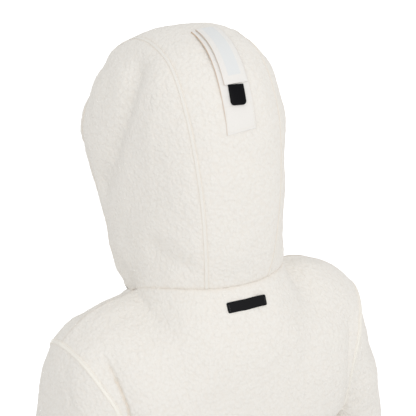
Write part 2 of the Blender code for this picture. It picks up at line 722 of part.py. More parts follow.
def loft_solid(name, rings):
    """Close a row of rings into one solid with flat ends."""
    count, size = rings.shape[:2]
    solid = bmesh.new()
    points = [[solid.verts.new(point) for point in ring] for ring in rings]
    for i in range(count - 1):
        for j in range(size):
            k = (j + 1) % size
            solid.faces.new((points[i][j], points[i][k], points[i + 1][k], points[i + 1][j]))
    solid.faces.new(points[0])
    solid.faces.new(points[-1])
    bmesh.ops.recalc_face_normals(solid, faces=solid.faces)
    bmesh.ops.triangulate(solid, faces=[face for face in solid.faces if len(face.verts) > 4])
    mesh = bpy.data.meshes.new(name)
    solid.to_mesh(mesh)
    solid.free()
    return mesh


def add_box(name, size, place, matrix, collection, material=None):
    """Add a box of a given size at a place of a local frame, as a primitive."""
    bpy.ops.mesh.primitive_cube_add(size=1.0)
    item = bpy.context.active_object
    item.name = name
    item.data.name = name
    item.data.transform(Matrix.Diagonal((*size, 1.0)))
    item.data.transform(Matrix.Translation(place))
    item.matrix_world = matrix
    for owner in list(item.users_collection):
        owner.objects.unlink(item)
    collection.objects.link(item)
    if material is not None:
        item.data.materials.append(material)
    return item


def hide_cutter(item):
    """Mark a cutter so that it stays out of the model."""
    item.hide_render = True
    item.display_type = "WIRE"


def boolean(item, other, operation):
    """Cut or join another object with a Boolean modifier."""
    modifier = item.modifiers.new(operation.title(), "BOOLEAN")
    modifier.operation = operation
    modifier.solver = "EXACT"
    modifier.object = other


def local_matrix(here, down, out):
    """Make a frame whose X runs across, Y up the zip and Z outward."""
    up = -Vector(down)
    outward = Vector(out)
    across = up.cross(outward)
    matrix = Matrix((across, up, outward)).transposed().to_4x4()
    matrix.translation = Vector(here)
    return matrix


def add_slider(matrix, collection, cutters):
    """Build the zip slider, with its channel and the bridge that holds the pull."""
    metal = principled("slider", METAL, 0.3, 1.0)
    base = LAY_GAP
    place = (0.0, 0.0, base + SLIDER_HEIGHT / 2.0)
    slider = add_box("zip_slider", (SLIDER_WIDTH, SLIDER_LENGTH, SLIDER_HEIGHT), place, matrix,
                     collection, metal)
    channel_size = (CHANNEL_WIDTH, SLIDER_LENGTH * 1.4, CHANNEL_HEIGHT + base)
    channel = add_box("channel_cutter", channel_size, (0.0, 0.0, (CHANNEL_HEIGHT + base) / 2.0),
                      matrix, cutters)
    top = base + SLIDER_HEIGHT
    bridge_size = (BRIDGE_WIDTH, BRIDGE_LENGTH, BRIDGE_HEIGHT + 1.0 * MM)
    bridge = add_box("bridge_shape", bridge_size, (0.0, 0.0, top + BRIDGE_HEIGHT / 2.0 - 0.5 * MM),
                     matrix, cutters)
    slot_size = (BRIDGE_WIDTH * 2.0, SLOT_LENGTH, SLOT_HEIGHT)
    slot = add_box("slot_cutter", slot_size, (0.0, 0.0, top + SLOT_HEIGHT / 2.0), matrix, cutters)
    for item in (channel, bridge, slot):
        hide_cutter(item)
    boolean(slider, bridge, "UNION")
    boolean(slider, channel, "DIFFERENCE")
    boolean(slider, slot, "DIFFERENCE")
    return top + PULL_AXIS_HEIGHT


def add_pull(matrix, axis_height, collection, cutters):
    """Build the pull tab, its origin on the bar that turns in the slider's bridge."""
    metal = principled("pull", METAL, 0.28, 1.0)
    frame = matrix @ Matrix.Translation((0.0, 0.0, axis_height))
    reach = PULL_THICKNESS / 2.0
    place = (0.0, reach - PULL_LENGTH / 2.0, 0.0)
    pull = add_box("zip_pull", (PULL_WIDTH, PULL_LENGTH, PULL_THICKNESS), place, frame,
                   collection, metal)
    window_size = (PULL_WINDOW_WIDTH, PULL_WINDOW_LENGTH, PULL_THICKNESS * 2.0)
    window_y = -reach - PULL_WINDOW_LENGTH / 2.0
    window = add_box("window_cutter", window_size, (0.0, window_y, 0.0), frame, cutters)
    hide_cutter(window)
    boolean(pull, window, "DIFFERENCE")
    return frame.translation


def add_zip_box(matrix, collection, cutters):
    """Build the box that closes the zip's bottom end."""
    metal = principled("zip_box", METAL, 0.35, 1.0)
    height = CHANNEL_HEIGHT + 1.0 * MM
    place = (0.0, 0.0, LAY_GAP + height / 2.0)
    box = add_box("zip_box", (SLIDER_WIDTH - 0.4 * MM, BOX_LENGTH, height), place, matrix,
                  collection, metal)
    size = (CHANNEL_WIDTH, BOX_LENGTH * 1.4, CHANNEL_HEIGHT)
    channel = add_box("box_cutter", size, (0.0, 0.0, CHANNEL_HEIGHT / 2.0), matrix, cutters)
    hide_cutter(channel)
    boolean(box, channel, "DIFFERENCE")


def add_zip(front, normals, collection, cutters):
    """Build the whole zip."""
    add_zip_tapes(front, normals, collection)
    depth = CLOTH + LAY_GAP
    here, down, out = zip_frame(front, SLIDER_ROW)
    matrix = local_matrix(here - out * depth, down, out)
    axis_height = add_slider(matrix, collection, cutters)
    add_pull(matrix, axis_height, collection, cutters)
    here, down, out = zip_frame(front, BOX_ROW)
    add_zip_box(local_matrix(here - out * depth, down, out), collection, cutters)


def main():
    """Build the garment."""
    clear_scene()
    parts = new_collection("Zip_Fleece_Hoodie")
    cutters = new_collection("Cutters")
    grids, normals = folded_grids()
    add_cloth(grids, normals, parts)
    add_strap(grids["hood_centre"], normals["hood_centre"], parts)
    add_label(grids["back"], normals["back"], parts)
    add_zip(grids["front_left"], normals["front_left"], parts, cutters)


main()
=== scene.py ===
import math

import bmesh
import bpy
import numpy as np
from mathutils import Matrix, Vector, noise


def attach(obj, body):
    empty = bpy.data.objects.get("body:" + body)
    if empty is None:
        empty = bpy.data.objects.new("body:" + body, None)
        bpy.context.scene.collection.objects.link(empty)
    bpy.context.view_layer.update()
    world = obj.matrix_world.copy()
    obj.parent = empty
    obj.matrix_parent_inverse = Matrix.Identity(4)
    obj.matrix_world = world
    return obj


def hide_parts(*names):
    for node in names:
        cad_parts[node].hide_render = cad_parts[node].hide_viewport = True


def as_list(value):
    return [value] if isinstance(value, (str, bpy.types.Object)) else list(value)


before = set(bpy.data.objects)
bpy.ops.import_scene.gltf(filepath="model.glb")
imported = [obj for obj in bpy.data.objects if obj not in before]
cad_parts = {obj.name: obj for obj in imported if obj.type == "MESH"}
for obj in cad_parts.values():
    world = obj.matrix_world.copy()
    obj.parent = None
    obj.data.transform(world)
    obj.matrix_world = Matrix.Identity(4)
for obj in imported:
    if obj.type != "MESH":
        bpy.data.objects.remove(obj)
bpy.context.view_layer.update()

bl_info = {
    "name": "Zip-up fleece hoodie",
    "version": (1, 0, 0),
    "blender": (4, 5, 0),
    "location": "3D View > Sidebar > Hoodie",
    "description": "Dresses the hoodie in curly fleece, with its seams, strap, label and zip",
    "category": "Object",
}

MM = 0.001
GARMENT = "garment"

# The cloth's wall, the gap under what lies on it and the thickness of the strap's layers
CLOTH = 4.0 * MM
LAY_GAP = 0.3 * MM
TRIM = 1.6 * MM

# Columns and rows of the coarse surfaces
BACK_NECK_COLUMNS = 8
CENTRE_COLUMNS = 3
FRONT_NECK_COLUMNS = 6
SHOULDER_COLUMNS = 7
HOOD_ROWS = 17
LOWER_ROWS = 10
ARMHOLE_ROWS = 11
SLEEVE_ROWS = 18
SIDE_COLUMNS = BACK_NECK_COLUMNS + FRONT_NECK_COLUMNS - CENTRE_COLUMNS
NECK_COLUMNS = {"back": BACK_NECK_COLUMNS, "front": FRONT_NECK_COLUMNS}

# Neck seam, a tilted ring, in millimetres and degrees
NECK_HALF_WIDTH = 101.0
NAPE_Y = 95.0
NECK_FRONT_Y = -104.0
NECK_FRONT_Z = -86.0
NECK_DROP_POWER = 1.9
NAPE_SEAM_ANGLE = 27.0
FRONT_EDGE_X = 5.0

# Body, from the hem up to the underarm
BODY_COLUMNS = ("back_y", "back_z", "front_y", "front_z", "side_x", "side_y", "side_z")
BODY_SECTIONS = (
    (135.0, -655.0, -150.0, -650.0, 203.0, -5.0, -650.0),
    (134.0, -560.0, -153.0, -560.0, 201.0, -5.0, -558.0),
    (124.0, -450.0, -150.0, -450.0, 187.0, -6.0, -450.0),
    (124.0, -350.0, -151.0, -352.0, 172.0, -6.0, -358.0),
    (127.0, -265.0, -149.0, -272.0, 165.0, -6.0, -288.0),
)
BODY_WRAP = 90.0

# Body, from the underarm up to the shoulder blades: middles and armhole edges
ARMHOLE_COLUMNS = (
    "back_y", "back_z", "back_x_edge", "back_y_edge", "back_z_edge",
    "front_y", "front_z", "front_x_edge", "front_y_edge", "front_z_edge", "wrap",
)
ARMHOLE_SECTIONS = (
    (127.0, -205.0, 171.0, 76.0, -222.0, -144.0, -222.0, 170.0, -90.0, -226.0, 76.0),
    (126.0, -142.0, 177.0, 93.0, -156.0, -133.0, -172.0, 177.0, -99.0, -162.0, 66.0),
)
SHOULDER_TIP = (212.0, -14.0, -83.0)
SHOULDER_BOW = 17.0
NECK_SHARE = 0.46

# How far the yoke rounds out of a straight run between shoulder blades and top row
YOKE_STEPS = (1.0 / 3.0, 2.0 / 3.0)
YOKE_COLUMNS = (
    "half", "middle_y", "corner_x", "corner_y", "corner_z", "edge_x", "edge_y", "edge_z",
)
YOKE_ROUNDING = (
    ("back", 11.0, 3.0, 23.0, 17.0, 8.0, 17.0, 24.0),
    ("front", -3.0, 2.0, -17.0, 13.0, 5.0, -12.0, 11.0),
)
YOKE_EASING = 9

# Sleeve rings below the armhole: the underarm side, the outer side, middle and half depth
SLEEVE_COLUMNS = ("inner_x", "inner_z", "outer_x", "outer_z", "mid_y", "half_depth")
SLEEVE_SECTIONS = (
    (171.0, -294.0, 225.0, -124.0, -4.0, 86.0),
    (174.0, -301.0, 233.0, -196.0, -8.0, 82.0),
    (178.0, -313.0, 245.0, -274.0, -11.0, 78.0),
    (184.0, -362.0, 261.0, -350.0, -16.0, 72.0),
    (200.0, -432.0, 284.0, -430.0, -28.0, 66.0),
    (214.0, -505.0, 296.0, -510.0, -46.0, 60.0),
    (224.0, -572.0, 298.0, -582.0, -66.0, 54.0),
    (228.0, -612.0, 297.0, -624.0, -76.0, 50.0),
)

# Hood arcs from the neck seam to the front edge
HOOD_COLUMNS = ("mid_y", "mid_z", "half_width", "end_x", "end_y", "end_z", "seam_angle")
HOOD_SECTIONS = (
    (106.0, 55.0, 101.0, 83.0, -112.0, -30.0, 30.0),
    (111.0, 120.0, 107.0, 93.0, -126.0, 20.0, 31.0),
    (106.0, 182.0, 112.0, 101.0, -137.0, 60.0, 32.0),
    (88.0, 246.0, 115.0, 106.0, -146.0, 92.0, 33.0),
    (40.0, 301.0, 116.0, 109.0, -153.0, 115.0, 32.0),
    (-32.0, 315.0, 113.5, 110.0, -158.0, 128.0, 31.0),
    (-105.0, 299.0, 111.5, 110.0, -163.0, 138.0, 30.0),
    (-166.0, 264.0, 109.5, 109.3, -167.0, 147.0, 29.0),
)
HOOD_FULLNESS = 0.045

# Folds, each between two places of a named surface, from 0 to 1 across and along it, with
# width and height in millimetres
FOLD_COLUMNS = ("surface", "side", "across_1", "along_1", "across_2", "along_2", "width", "height")
FOLDS = (
    ("hood", 1, 0.40, 0.68, 0.84, 0.41, 19.0, -9.0),
    ("hood", -1, 0.42, 0.66, 0.84, 0.42, 19.0, -7.0),
    ("hood", 1, 0.62, 0.80, 0.86, 0.62, 20.0, 2.0),
    ("hood", -1, 0.62, 0.80, 0.86, 0.62, 20.0, 2.0),
    ("hood", 1, 0.50, 0.17, 0.34, 0.10, 18.0, -4.0),
    ("hood", -1, 0.48, 0.16, 0.36, 0.11, 18.0, -3.0),
    ("back", 1, 0.90, 0.82, 0.905, 0.60, 17.0, -7.0),
    ("back", -1, 0.90, 0.80, 0.90, 0.60, 17.0, -6.0),
    ("front", 1, 0.88, 0.76, 0.90, 0.56, 17.0, -6.0),
    ("front", -1, 0.89, 0.78, 0.88, 0.55, 17.0, -6.0),
    ("back", -1, 0.72, 0.96, 0.88, 0.97, 45.0, 11.0),
    ("sleeve", -1, 0.46, 0.12, 0.42, 0.34, 42.0, 7.0),
    ("back", 1, 0.35, 0.28, 0.85, 0.21, 18.0, -6.0),
    ("back", -1, 0.20, 0.22, 0.80, 0.27, 18.0, -5.0),
    ("front", 1, 0.25, 0.24, 0.80, 0.20, 18.0, -5.0),
    ("front", -1, 0.30, 0.19, 0.85, 0.25, 18.0, -6.0),
    ("sleeve", 1, 0.16, 0.56, 0.40, 0.52, 17.0, -7.0),
    ("sleeve", 1, 0.62, 0.60, 0.90, 0.56, 16.0, -6.0),
    ("sleeve", -1, 0.14, 0.53, 0.42, 0.57, 17.0, -7.0),
    ("sleeve", -1, 0.60, 0.56, 0.88, 0.60, 16.0, -6.0),
    ("sleeve", 1, 0.20, 0.84, 0.80, 0.88, 14.0, -4.0),
    ("sleeve", -1, 0.22, 0.88, 0.78, 0.84, 14.0, -4.0),
)
FOLD_STEPS = 13

# Slow rises and hollows of the soft outline, in the folds' own columns
SHAPES = (
    ("hood", 1, 0.40, 1.0, 0.60, 1.0, 26.0, -9.0),
    ("hood", 1, 0.42, 1.0, 0.54, 1.0, 20.0, -3.0),
    ("hood", 1, 0.72, 1.0, 0.90, 1.0, 22.0, -5.0),
    ("hood", 1, 1.0, 0.72, 1.0, 0.42, 22.0, -4.5),
    ("hood", 1, 1.0, 0.36, 1.0, 0.18, 22.0, -5.0),
    ("hood", 1, 0.87, 0.10, 0.76, 0.05, 17.0, 8.0),
    ("hood", 1, 0.18, 0.92, 0.02, 0.875, 26.0, -5.5),
    ("hood", -1, 0.07, 0.86, 0.17, 0.80, 24.0, -7.0),
    ("hood", -1, 0.25, 0.70, 0.29, 0.66, 14.0, -3.0),
    ("hood", -1, 0.364, 0.34, 0.37, 0.20, 30.0, -6.0),
    ("front", 1, 0.55, 0.975, 0.72, 0.945, 16.0, -10.0),
    ("front", 1, 0.80, 0.93, 0.95, 0.91, 20.0, 2.5),
    ("sleeve", -1, 0.41, 0.08, 0.40, 0.14, 25.0, -4.0),
    ("sleeve", -1, 0.395, 0.23, 0.395, 0.36, 35.0, 6.5),
    ("back", -1, 0.64, 0.99, 0.76, 0.985, 20.0, -5.0),
    ("back", -1, 0.93, 0.985, 0.985, 0.955, 16.0, 2.5),
    ("hood", 1, 0.42, 0.66, 0.70, 0.50, 13.0, -3.0),
    ("hood", 1, 0.30, 0.60, 0.46, 0.46, 20.0, 2.5),
    ("hood", 1, 0.46, 0.92, 0.52, 0.88, 20.0, -4.5),
    ("front", 1, 0.54, 0.955, 0.66, 0.93, 18.0, -5.5),
    ("back", 1, 0.68, 0.995, 0.77, 0.995, 15.0, -3.5),
)

# Fine creases at the armholes, in the folds' own columns
CREASES = (
    ("back", 1, 0.883, 0.87, 0.884, 0.79, 2.8, -1.1),
    ("back", 1, 0.883, 0.835, 0.886, 0.68, 2.4, -1.9),
    ("back", 1, 0.884, 0.79, 0.889, 0.57, 2.4, -2.6),
    ("back", -1, 0.884, 0.80, 0.888, 0.66, 2.6, -1.8),
    ("sleeve", 1, 0.471, 0.085, 0.429, 0.15, 9.0, -1.6),
    ("sleeve", -1, 0.46, 0.09, 0.42, 0.15, 9.0, -1.4),
)
CREASE_STEPS = 61

# Hood strap: places along the hood's middle line, from 0 at the nape to 1 at the front edge
STRAP_TOP = 0.722
STRAP_END = 0.441
TAPE_END = 0.550
TAB_END = 0.502
STRAP_LEAN = 0.058
STRAP_CUT_SLANT = 0.054
STRAP_HALF_COLUMN = 0.94
TAPE_HALF_COLUMN = 0.74
TAB_HALF_COLUMN = 0.47

# How many fine steps one coarse row or column takes
BODY_COLUMN_STEPS = 8
LOWER_ROW_STEPS = 15
UPPER_ROW_STEPS = 10
SLEEVE_ROW_STEPS = 11
HOOD_COLUMN_STEPS = 10
HOOD_ROW_STEPS = 12

# Camera
CAMERA_AZIMUTH = 152.4
CAMERA_ELEVATION = 23.0
CAMERA_DISTANCE = 3.5
CAMERA_TARGET = (0.0, 0.0, 0.073)
CAMERA_LENS = 230.2
SENSOR = 36.0
CAMERA_REACH = 60.0

# How full the body is between middle and side
SIDE_FULLNESS = 0.06

# Points closer than this count as one point
SAME_PLACE = 0.02 * MM

# Coarse columns over which the underarm's corner eases, and those a ring overlaps itself by
UNDERARM_EASING = 3.0
RING_OVERLAP = 3

# How many of its widths a fold reaches
FOLD_REACH = 3.0

# Which of a panel's edges are banded seams, plain seams, turned edges or the zip's edge, and
# how far in the last two are stitched
PANEL_EDGES = {
    "back": {"bottom": "turned", "top": "plain", "first": "seam", "last": "seam"},
    "front_left": {"bottom": "turned", "top": "plain", "first": "zip", "last": "seam"},
    "front_right": {"bottom": "turned", "top": "plain", "first": "seam", "last": "zip"},
    "sleeve_left": {"bottom": "seam", "top": "turned"},
    "sleeve_right": {"bottom": "seam", "top": "turned"},
    "hood_side_left": {"bottom": "plain", "top": "turned", "first": "turned", "last": "seam"},
    "hood_centre": {"bottom": "plain", "top": "turned", "first": "seam", "last": "seam"},
    "hood_side_right": {"bottom": "plain", "top": "turned", "first": "seam", "last": "turned"},
}
STITCH_LINES = {"turned": 22.0 * MM, "zip": 7.0 * MM}

# Share of the pile left on a seam, share of the seam depth, and how much painted warm shade the
# seam gets
SEAM_LOOKS = {"seam": (0.12, 0.7, 0.42), "plain": (0.6, 0.35, 0.3)}

# Flat cut of each panel, width and length in metres, and its flat area in square metres
PANEL_CUTS = {
    "back": ((0.56, 0.68), 0.330),
    "front_left": ((0.29, 0.66), 0.170),
    "front_right": ((0.29, 0.66), 0.170),
    "sleeve_left": ((0.44, 0.55), 0.180),
    "sleeve_right": ((0.44, 0.55), 0.180),
    "hood_side_left": ((0.26, 0.50), 0.100),
    "hood_centre": ((0.13, 0.55), 0.062),
    "hood_side_right": ((0.26, 0.50), 0.100),
}

# What is pressed into a panel along a sewn seam, at a line of stitches and at a turned edge, with
# the painted warm shade that seams and stitch lines get
SEAM_PILE_REACH = (1.5 * MM, 5.5 * MM)
SEAM_WIDTH = 3.2 * MM
SEAM_SHADE_WIDTH = 3.0 * MM
STITCH_WIDTH = 2.2 * MM
STITCH_DEPTH = 0.9 * MM
STITCH_PRESS_AND_SHADE = 0.8
RIM_DEPTH = 1.5 * MM
RIM_REACH = 5.0 * MM
TURNED_HEIGHT = 0.8 * MM
TURNED_EASING = 4.0 * MM

# The cloth's slow waves and its lumps: how many to a metre, how high, and the waves' fading
WAVE_SCALE = 22.0
WAVE_HEIGHT = 2.2 * MM
WAVE_FADE = 14.0 * MM
LUMP_SCALE = 75.0
LUMP_HEIGHT = 0.5 * MM
WAVE_SHIFT = Vector((3.7, 1.3, -2.1))

# Where a crease starts to look pressed and take painted shade, over what depth it grows and how
# far
CREASE_START = 1.6 * MM
CREASE_RANGE = 3.4 * MM
CREASE_PRESS_AND_SHADE = 0.8

# The pile's nubs: how they are warped, how high they stand and how they swell, in nub sizes,
# and the seed that gives them the same places in every run
NUB_WARP_SCALE = 0.45
NUB_WARP = 0.35
NUB_TOP = 0.75
NUB_FALL = 1.45
NUB_SWELL = 0.45
NUB_SWELL_SCALE = 0.32
NUB_SEED = 7

# How far a rim bulges, in walls, and the units of a piece's own map to a metre
RIM_BULGE = 0.3
MAP_SCALE = 100.0

# One thread stitch: sides, rings of place, rise and fullness, and where it starts and ends
STITCH_SIDES = 6
STITCH_RINGS = ((0.0, -0.5, 0.55), (0.14, 0.35, 0.9), (0.5, 0.85, 1.0), (0.86, 0.35, 0.9),
                (1.0, -0.5, 0.55))
STITCH_ENDS = (0.1, 0.9)
EDGE_STITCH_HEIGHT = -0.6 * MM

# Seam bands: how far the rows of stitches lie from the middle, and the cut in millimetres
BAND_STITCH = 1.7 * MM
BAND_STITCH_HEIGHT = 0.42 * MM
BAND_STITCH_SLANT = 0.5 * MM
BAND_PITCH = 2.5 * MM
BAND_PROFILE = (
    (-3.2, -2.0), (3.2, -2.0), (3.2, -0.4), (2.6, 0.2), (1.2, 0.45), (0.0, 0.3),
    (-1.2, 0.45), (-2.6, 0.2), (-3.2, -0.4),
)
HOOD_BAND_SHARE = 0.8

# Strap: rows and columns of its layers, and the hood centre's middle column
STRAP_ROWS = 161
STRAP_COLUMNS = 33
HOOD_MIDDLE = CENTRE_COLUMNS * HOOD_COLUMN_STEPS

# The strap's layers: piece, lower end, half width in columns, layer, look, slot, part's node
STRAP_LAYERS = (
    ("strap_twill", STRAP_END, STRAP_HALF_COLUMN, 0, "twill", "twill", "strap_base"),
    ("strap_tape_top", TAPE_END, TAPE_HALF_COLUMN, 1, "stripe", "tape", "strap_tape"),
)
TAPE_ASIDE = 0.9

# The strap's slanted cut, where it leaves the hood and lies down again, and its slow wave
STRAP_CUT_REACH = 0.08
STRAP_LEAVES = (0.26, 0.40)
STRAP_LIES_DOWN = (0.90, 0.99)
STRAP_WAVE = 0.15
STRAP_WAVE_TURNS = 9.0
STRAP_WAVE_START = 0.8
STRAP_SIDE_SLOPE = 0.25

# The tape's loose left side, and the box of stitches at the strap's end
TAPE_LOOSE_FROM = 0.45
TAPE_LOOSE_HEIGHT = 2.0 * MM
BOX_INSET = 0.09
BOX_ROWS = (0.006, 0.062)
BOX_STEPS = 24

# Rounding of moulded plates and metal, and the angles from which edges count as sharp
CORNER_SEGMENTS = 6
RIM_SEGMENTS = 3
RIM_SHARE = 0.35
SMOOTH_ANGLE = math.radians(40.0)
METAL_SMOOTH_ANGLE = math.radians(35.0)
FLAT_ANGLE = math.radians(2.0)

# Tab at the tape's end
TAB_THICKNESS = 2.4 * MM
TAB_CORNER = 5.0 * MM
TAB_CUTS = (6, 8)
TAB_OVERLAP = 0.002
TAB_TURN = 0.10
MEASURE_ROWS = 60

# Label on the back
LABEL_HALF_WIDTH = 28.5 * MM
LABEL_TOP_Z = -19.0 * MM
LABEL_BOTTOM_Z = -32.5 * MM
LABEL_SHIFT = 1.4 * MM
LABEL_STIFFNESS = 0.85
LABEL_THICKNESS = 1.8 * MM
LABEL_CLEARANCE = 0.6 * MM
LABEL_CORNER = 2.2 * MM
LABEL_CUTS = (16, 4)
LABEL_ROWS = 20
LABEL_STITCH_INSET = 2.6 * MM
LABEL_STITCH_REACH = 0.34
LABEL_STITCH_STEPS = 12

# The zip: its tapes behind the fronts' edges, with a corded inner edge, and the column of the
# cloth that gives their slope
TAPE_DEPTH = CLOTH + LAY_GAP
TAPE_ACROSS = ((0.15 * MM, 2.6 * MM, 4), (4.0 * MM, 15.0 * MM, 7))
TAPE_CORD = ((0.0, 1.4 * MM, 3.0 * MM), (0.5 * MM, 0.9 * MM, 0.0))
TAPE_PITCH = 4.0 * MM
TAPE_END_SHARE = 0.8
SLOPE_COLUMN = 4
TAPE_THICKNESS = 1.2 * MM

# Teeth: parted a little above the slider's place, and left out at both ends
TOOTH_PITCH = 2.6 * MM
TOOTH_SIZE = (4.0 * MM, 1.25 * MM, 2.3 * MM)
TOOTH_PLACE = 1.35 * MM
TOOTH_CUT = 0.28 * MM
TOOTH_RISE = 0.9 * MM
TEETH_PARTED = 1.0 * MM
TEETH_LEFT_OUT = 8
SLIDER_ROW = 0.9

# End stops, and the metal solids whose edges are rounded: piece, rounding and body
STOP_SIZE = (3.2 * MM, 3.4 * MM, 2.6 * MM)
STOP_ROUNDING = 0.5 * MM
STOP_RISE = 0.8 * MM
STOP_PLACE = 2.4 * MM
STOP_STEPS = 8
HARDWARE = {
    "zip_slider": ("slider", 0.45 * MM, GARMENT),
    "zip_pull": ("pull_tab", 0.4 * MM, "pull"),
    "zip_box": ("bottom_box", 0.4 * MM, GARMENT),
}

# Flat cuts of the strap's two layers, width and length in metres
STRAP_CUTS = ((0.041, 0.163), (0.032, 0.102))

# Strength and depth in metres of each look's bumps, and its shader's plain values
LOOK_VALUES = {
    "fleece": (0.75, 0.0011, {
        "Roughness": 0.95, "Specular IOR Level": 0.15, "Sheen Weight": 0.30,
        "Sheen Roughness": 0.55, "Sheen Tint": (1.0, 0.97, 0.92, 1.0),
    }),
    "knit": (0.35, 0.0006, {"Roughness": 0.9, "Specular IOR Level": 0.2, "Sheen Weight": 0.15}),
    "thread": (0.4, 0.0002, {"Roughness": 0.6, "Sheen Weight": 0.2}),
    "band": (0.25, 0.0003, {"Roughness": 0.7, "Sheen Weight": 0.2}),
    "twill": (0.30, 0.0003, {"Roughness": 0.75, "Sheen Weight": 0.1}),
    "rubber": (0.25, 0.0002, {}),
    "metal": (0.1, 0.0002, {"Metallic": 1.0}),
}

# How far the pile sways in metres, and how steeply a twill's painted edge shadows fade to a
# centimetre
PILE_SWAY = 0.0034
EDGE_FADE = 14.0

# Colours that the looks add to those of the settings
PALE_PILE = (0.80, 0.79, 0.77)
DARK_KNIT = (0.70, 0.66, 0.59)
DARK_THREAD = (0.02, 0.02, 0.024)
PALE_TWILL = (0.90, 0.885, 0.86)
DARK_YARN = (0.74, 0.69, 0.62)
# Painted warm shadow for the strap's edges
EDGE_SHADOW_COLOUR = (0.62, 0.42, 0.26)
WORN_BLACK = (0.008, 0.008, 0.010)
DARK_METAL = (0.62, 0.61, 0.59)
BRIGHT_METAL = (0.76, 0.75, 0.73)
STUDIO_GREY = (0.9, 0.9, 0.9)
STUDIO_WHITE = (0.97, 0.97, 0.97)
WHITE = (1.0, 1.0, 1.0, 1.0)

# Half widths of the strap's layers on their own maps, in centimetres
STRAP_HALF_WIDTH = 2.02
TAPE_HALF_WIDTH = 1.6

# Stage: floor, the world's light and the suns in the camera's own directions
FLOOR_Z = -0.72
FLOOR_SIZE = 30.0
FLOOR_GLOW = 0.45
WORLD_LIGHT = 0.80
SUNS = (
    ("key_light", (0.35, 0.1, 0.93), 0.55, 50.0),
    ("top_light", (0.0, 0.9, 0.4), 0.12, 60.0),
)

# A narrow warm light on the hood, aimed in the camera's own directions
SPOT_POWER = 130.0
SPOT_ANGLE = 9.5
SPOT_COLOUR = (1.0, 0.965, 0.91)
SPOT_TARGET = (0.0, 0.06, 0.19)
SPOT_AIM = (0.1, -0.25, 1.0)
SPOT_DISTANCE = 3.0
SPOT_SIZE = 0.4

STEPS = ("body", "sleeves", "hood", "seams", "strap", "label", "zip", "stage")

# The worked out cloth and the materials made so far
FORM = {}
LOOKS = {}


def rows_as_columns(names, rows):
    """Turn a table of rows into one array for each named column."""
    return {name: np.array([row[i] for row in rows]) for i, name in enumerate(names)}


def unit(vectors):
    """Scale vectors to length 1."""
    return vectors / np.linalg.norm(vectors, axis=-1, keepdims=True)


def run_along(points):
    """Give the distance run from the first point to each point of a row."""
    steps = np.linalg.norm(np.diff(points, axis=0), axis=1)
    return np.concatenate([[0.0], np.cumsum(steps)])


def smooth_through(places, values, wanted):
    """Run a smooth curve through values given at rising places and read it at wanted places."""
    places = np.asarray(places, dtype=float)
    values = np.asarray(values, dtype=float)
    gaps = np.diff(places).reshape((-1,) + (1,) * (values.ndim - 1))
    slopes = np.diff(values, axis=0) / gaps
    tangents = np.empty_like(values)
    tangents[1:-1] = (slopes[:-1] * gaps[1:] + slopes[1:] * gaps[:-1]) / (gaps[1:] + gaps[:-1])
    tangents[0] = 1.5 * slopes[0] - 0.5 * tangents[1]
    tangents[-1] = 1.5 * slopes[-1] - 0.5 * tangents[-2]
    wanted = np.clip(np.asarray(wanted, dtype=float), places[0], places[-1])
    span = np.clip(np.searchsorted(places, wanted, side="right") - 1, 0, len(places) - 2)
    shape = (-1,) + (1,) * (values.ndim - 1)
    length = (places[span + 1] - places[span]).reshape(shape)
    t = (wanted - places[span]).reshape(shape) / length
    start = (2 * t ** 3 - 3 * t ** 2 + 1) * values[span]
    leave = (t ** 3 - 2 * t ** 2 + t) * length * tangents[span]
    end = (3 * t ** 2 - 2 * t ** 3) * values[span + 1]
    arrive = (t ** 3 - t ** 2) * length * tangents[span + 1]
    return start + leave + end + arrive


def neck_point(angle):
    """Give the neck seam's points, the angle running from the nape round to the front."""
    centre_y = 0.5 * (NAPE_Y + NECK_FRONT_Y)
    half_y = 0.5 * (NAPE_Y - NECK_FRONT_Y)
    x = NECK_HALF_WIDTH * np.sin(angle)
    y = centre_y + half_y * np.cos(angle)
    z = NECK_FRONT_Z * (0.5 * (1.0 - np.cos(angle))) ** NECK_DROP_POWER
    return np.stack([x, y, z], axis=-1)


def neck_angles():
    """Give the angles of the neck seam's columns, in radians, from nape to front edge."""
    last = math.pi - math.asin(FRONT_EDGE_X / NECK_HALF_WIDTH)
    seam = math.radians(NAPE_SEAM_ANGLE)
    centre = np.linspace(0.0, seam, CENTRE_COLUMNS + 1)
    side = np.linspace(seam, last, SIDE_COLUMNS + 1)
    return np.concatenate([centre, side[1:]])


def section_curve(across, middle, edge, wrap):
    """Bend a curve from a panel's middle out to its edge, wrapping by an angle in degrees."""
    turn = math.radians(wrap)
    angle = across * turn
    depth = (np.cos(angle) - math.cos(turn)) / (1.0 - math.cos(turn))
    fade = np.sin(0.5 * math.pi * (1.0 - across)) ** 0.5
    full = 1.0 + SIDE_FULLNESS * np.sin(2.0 * angle) ** 2 * fade
    x = edge[0] * np.sin(angle) / math.sin(turn) * full
    y = edge[1] + (middle[1] - edge[1]) * depth * full
    z = edge[2] + (middle[2] - edge[2]) * depth
    return np.stack([x, y, z], axis=-1)


def shoulder_line(steps):
    """Give the shoulder seam's points from the neck out to the tip."""
    start = neck_point(neck_angles()[BACK_NECK_COLUMNS])
    end = np.array(SHOULDER_TIP)
    part = np.asarray(steps)[:, None]
    rise = np.array([0.0, 0.0, SHOULDER_BOW]) * np.sin(math.pi * part)
    return start + (end - start) * part + rise


def panel_columns(half, height):
    """Give how far across each column of a half panel lies, from 0 to 1."""
    neck_columns = NECK_COLUMNS[half]
    even = neck_columns / (neck_columns + SHOULDER_COLUMNS)
    share = even + (NECK_SHARE - even) * height ** 2
    neck = np.linspace(0.0, share, neck_columns + 1)
    shoulder = np.linspace(share, 1.0, SHOULDER_COLUMNS + 1)
    return np.concatenate([neck, shoulder[1:]])


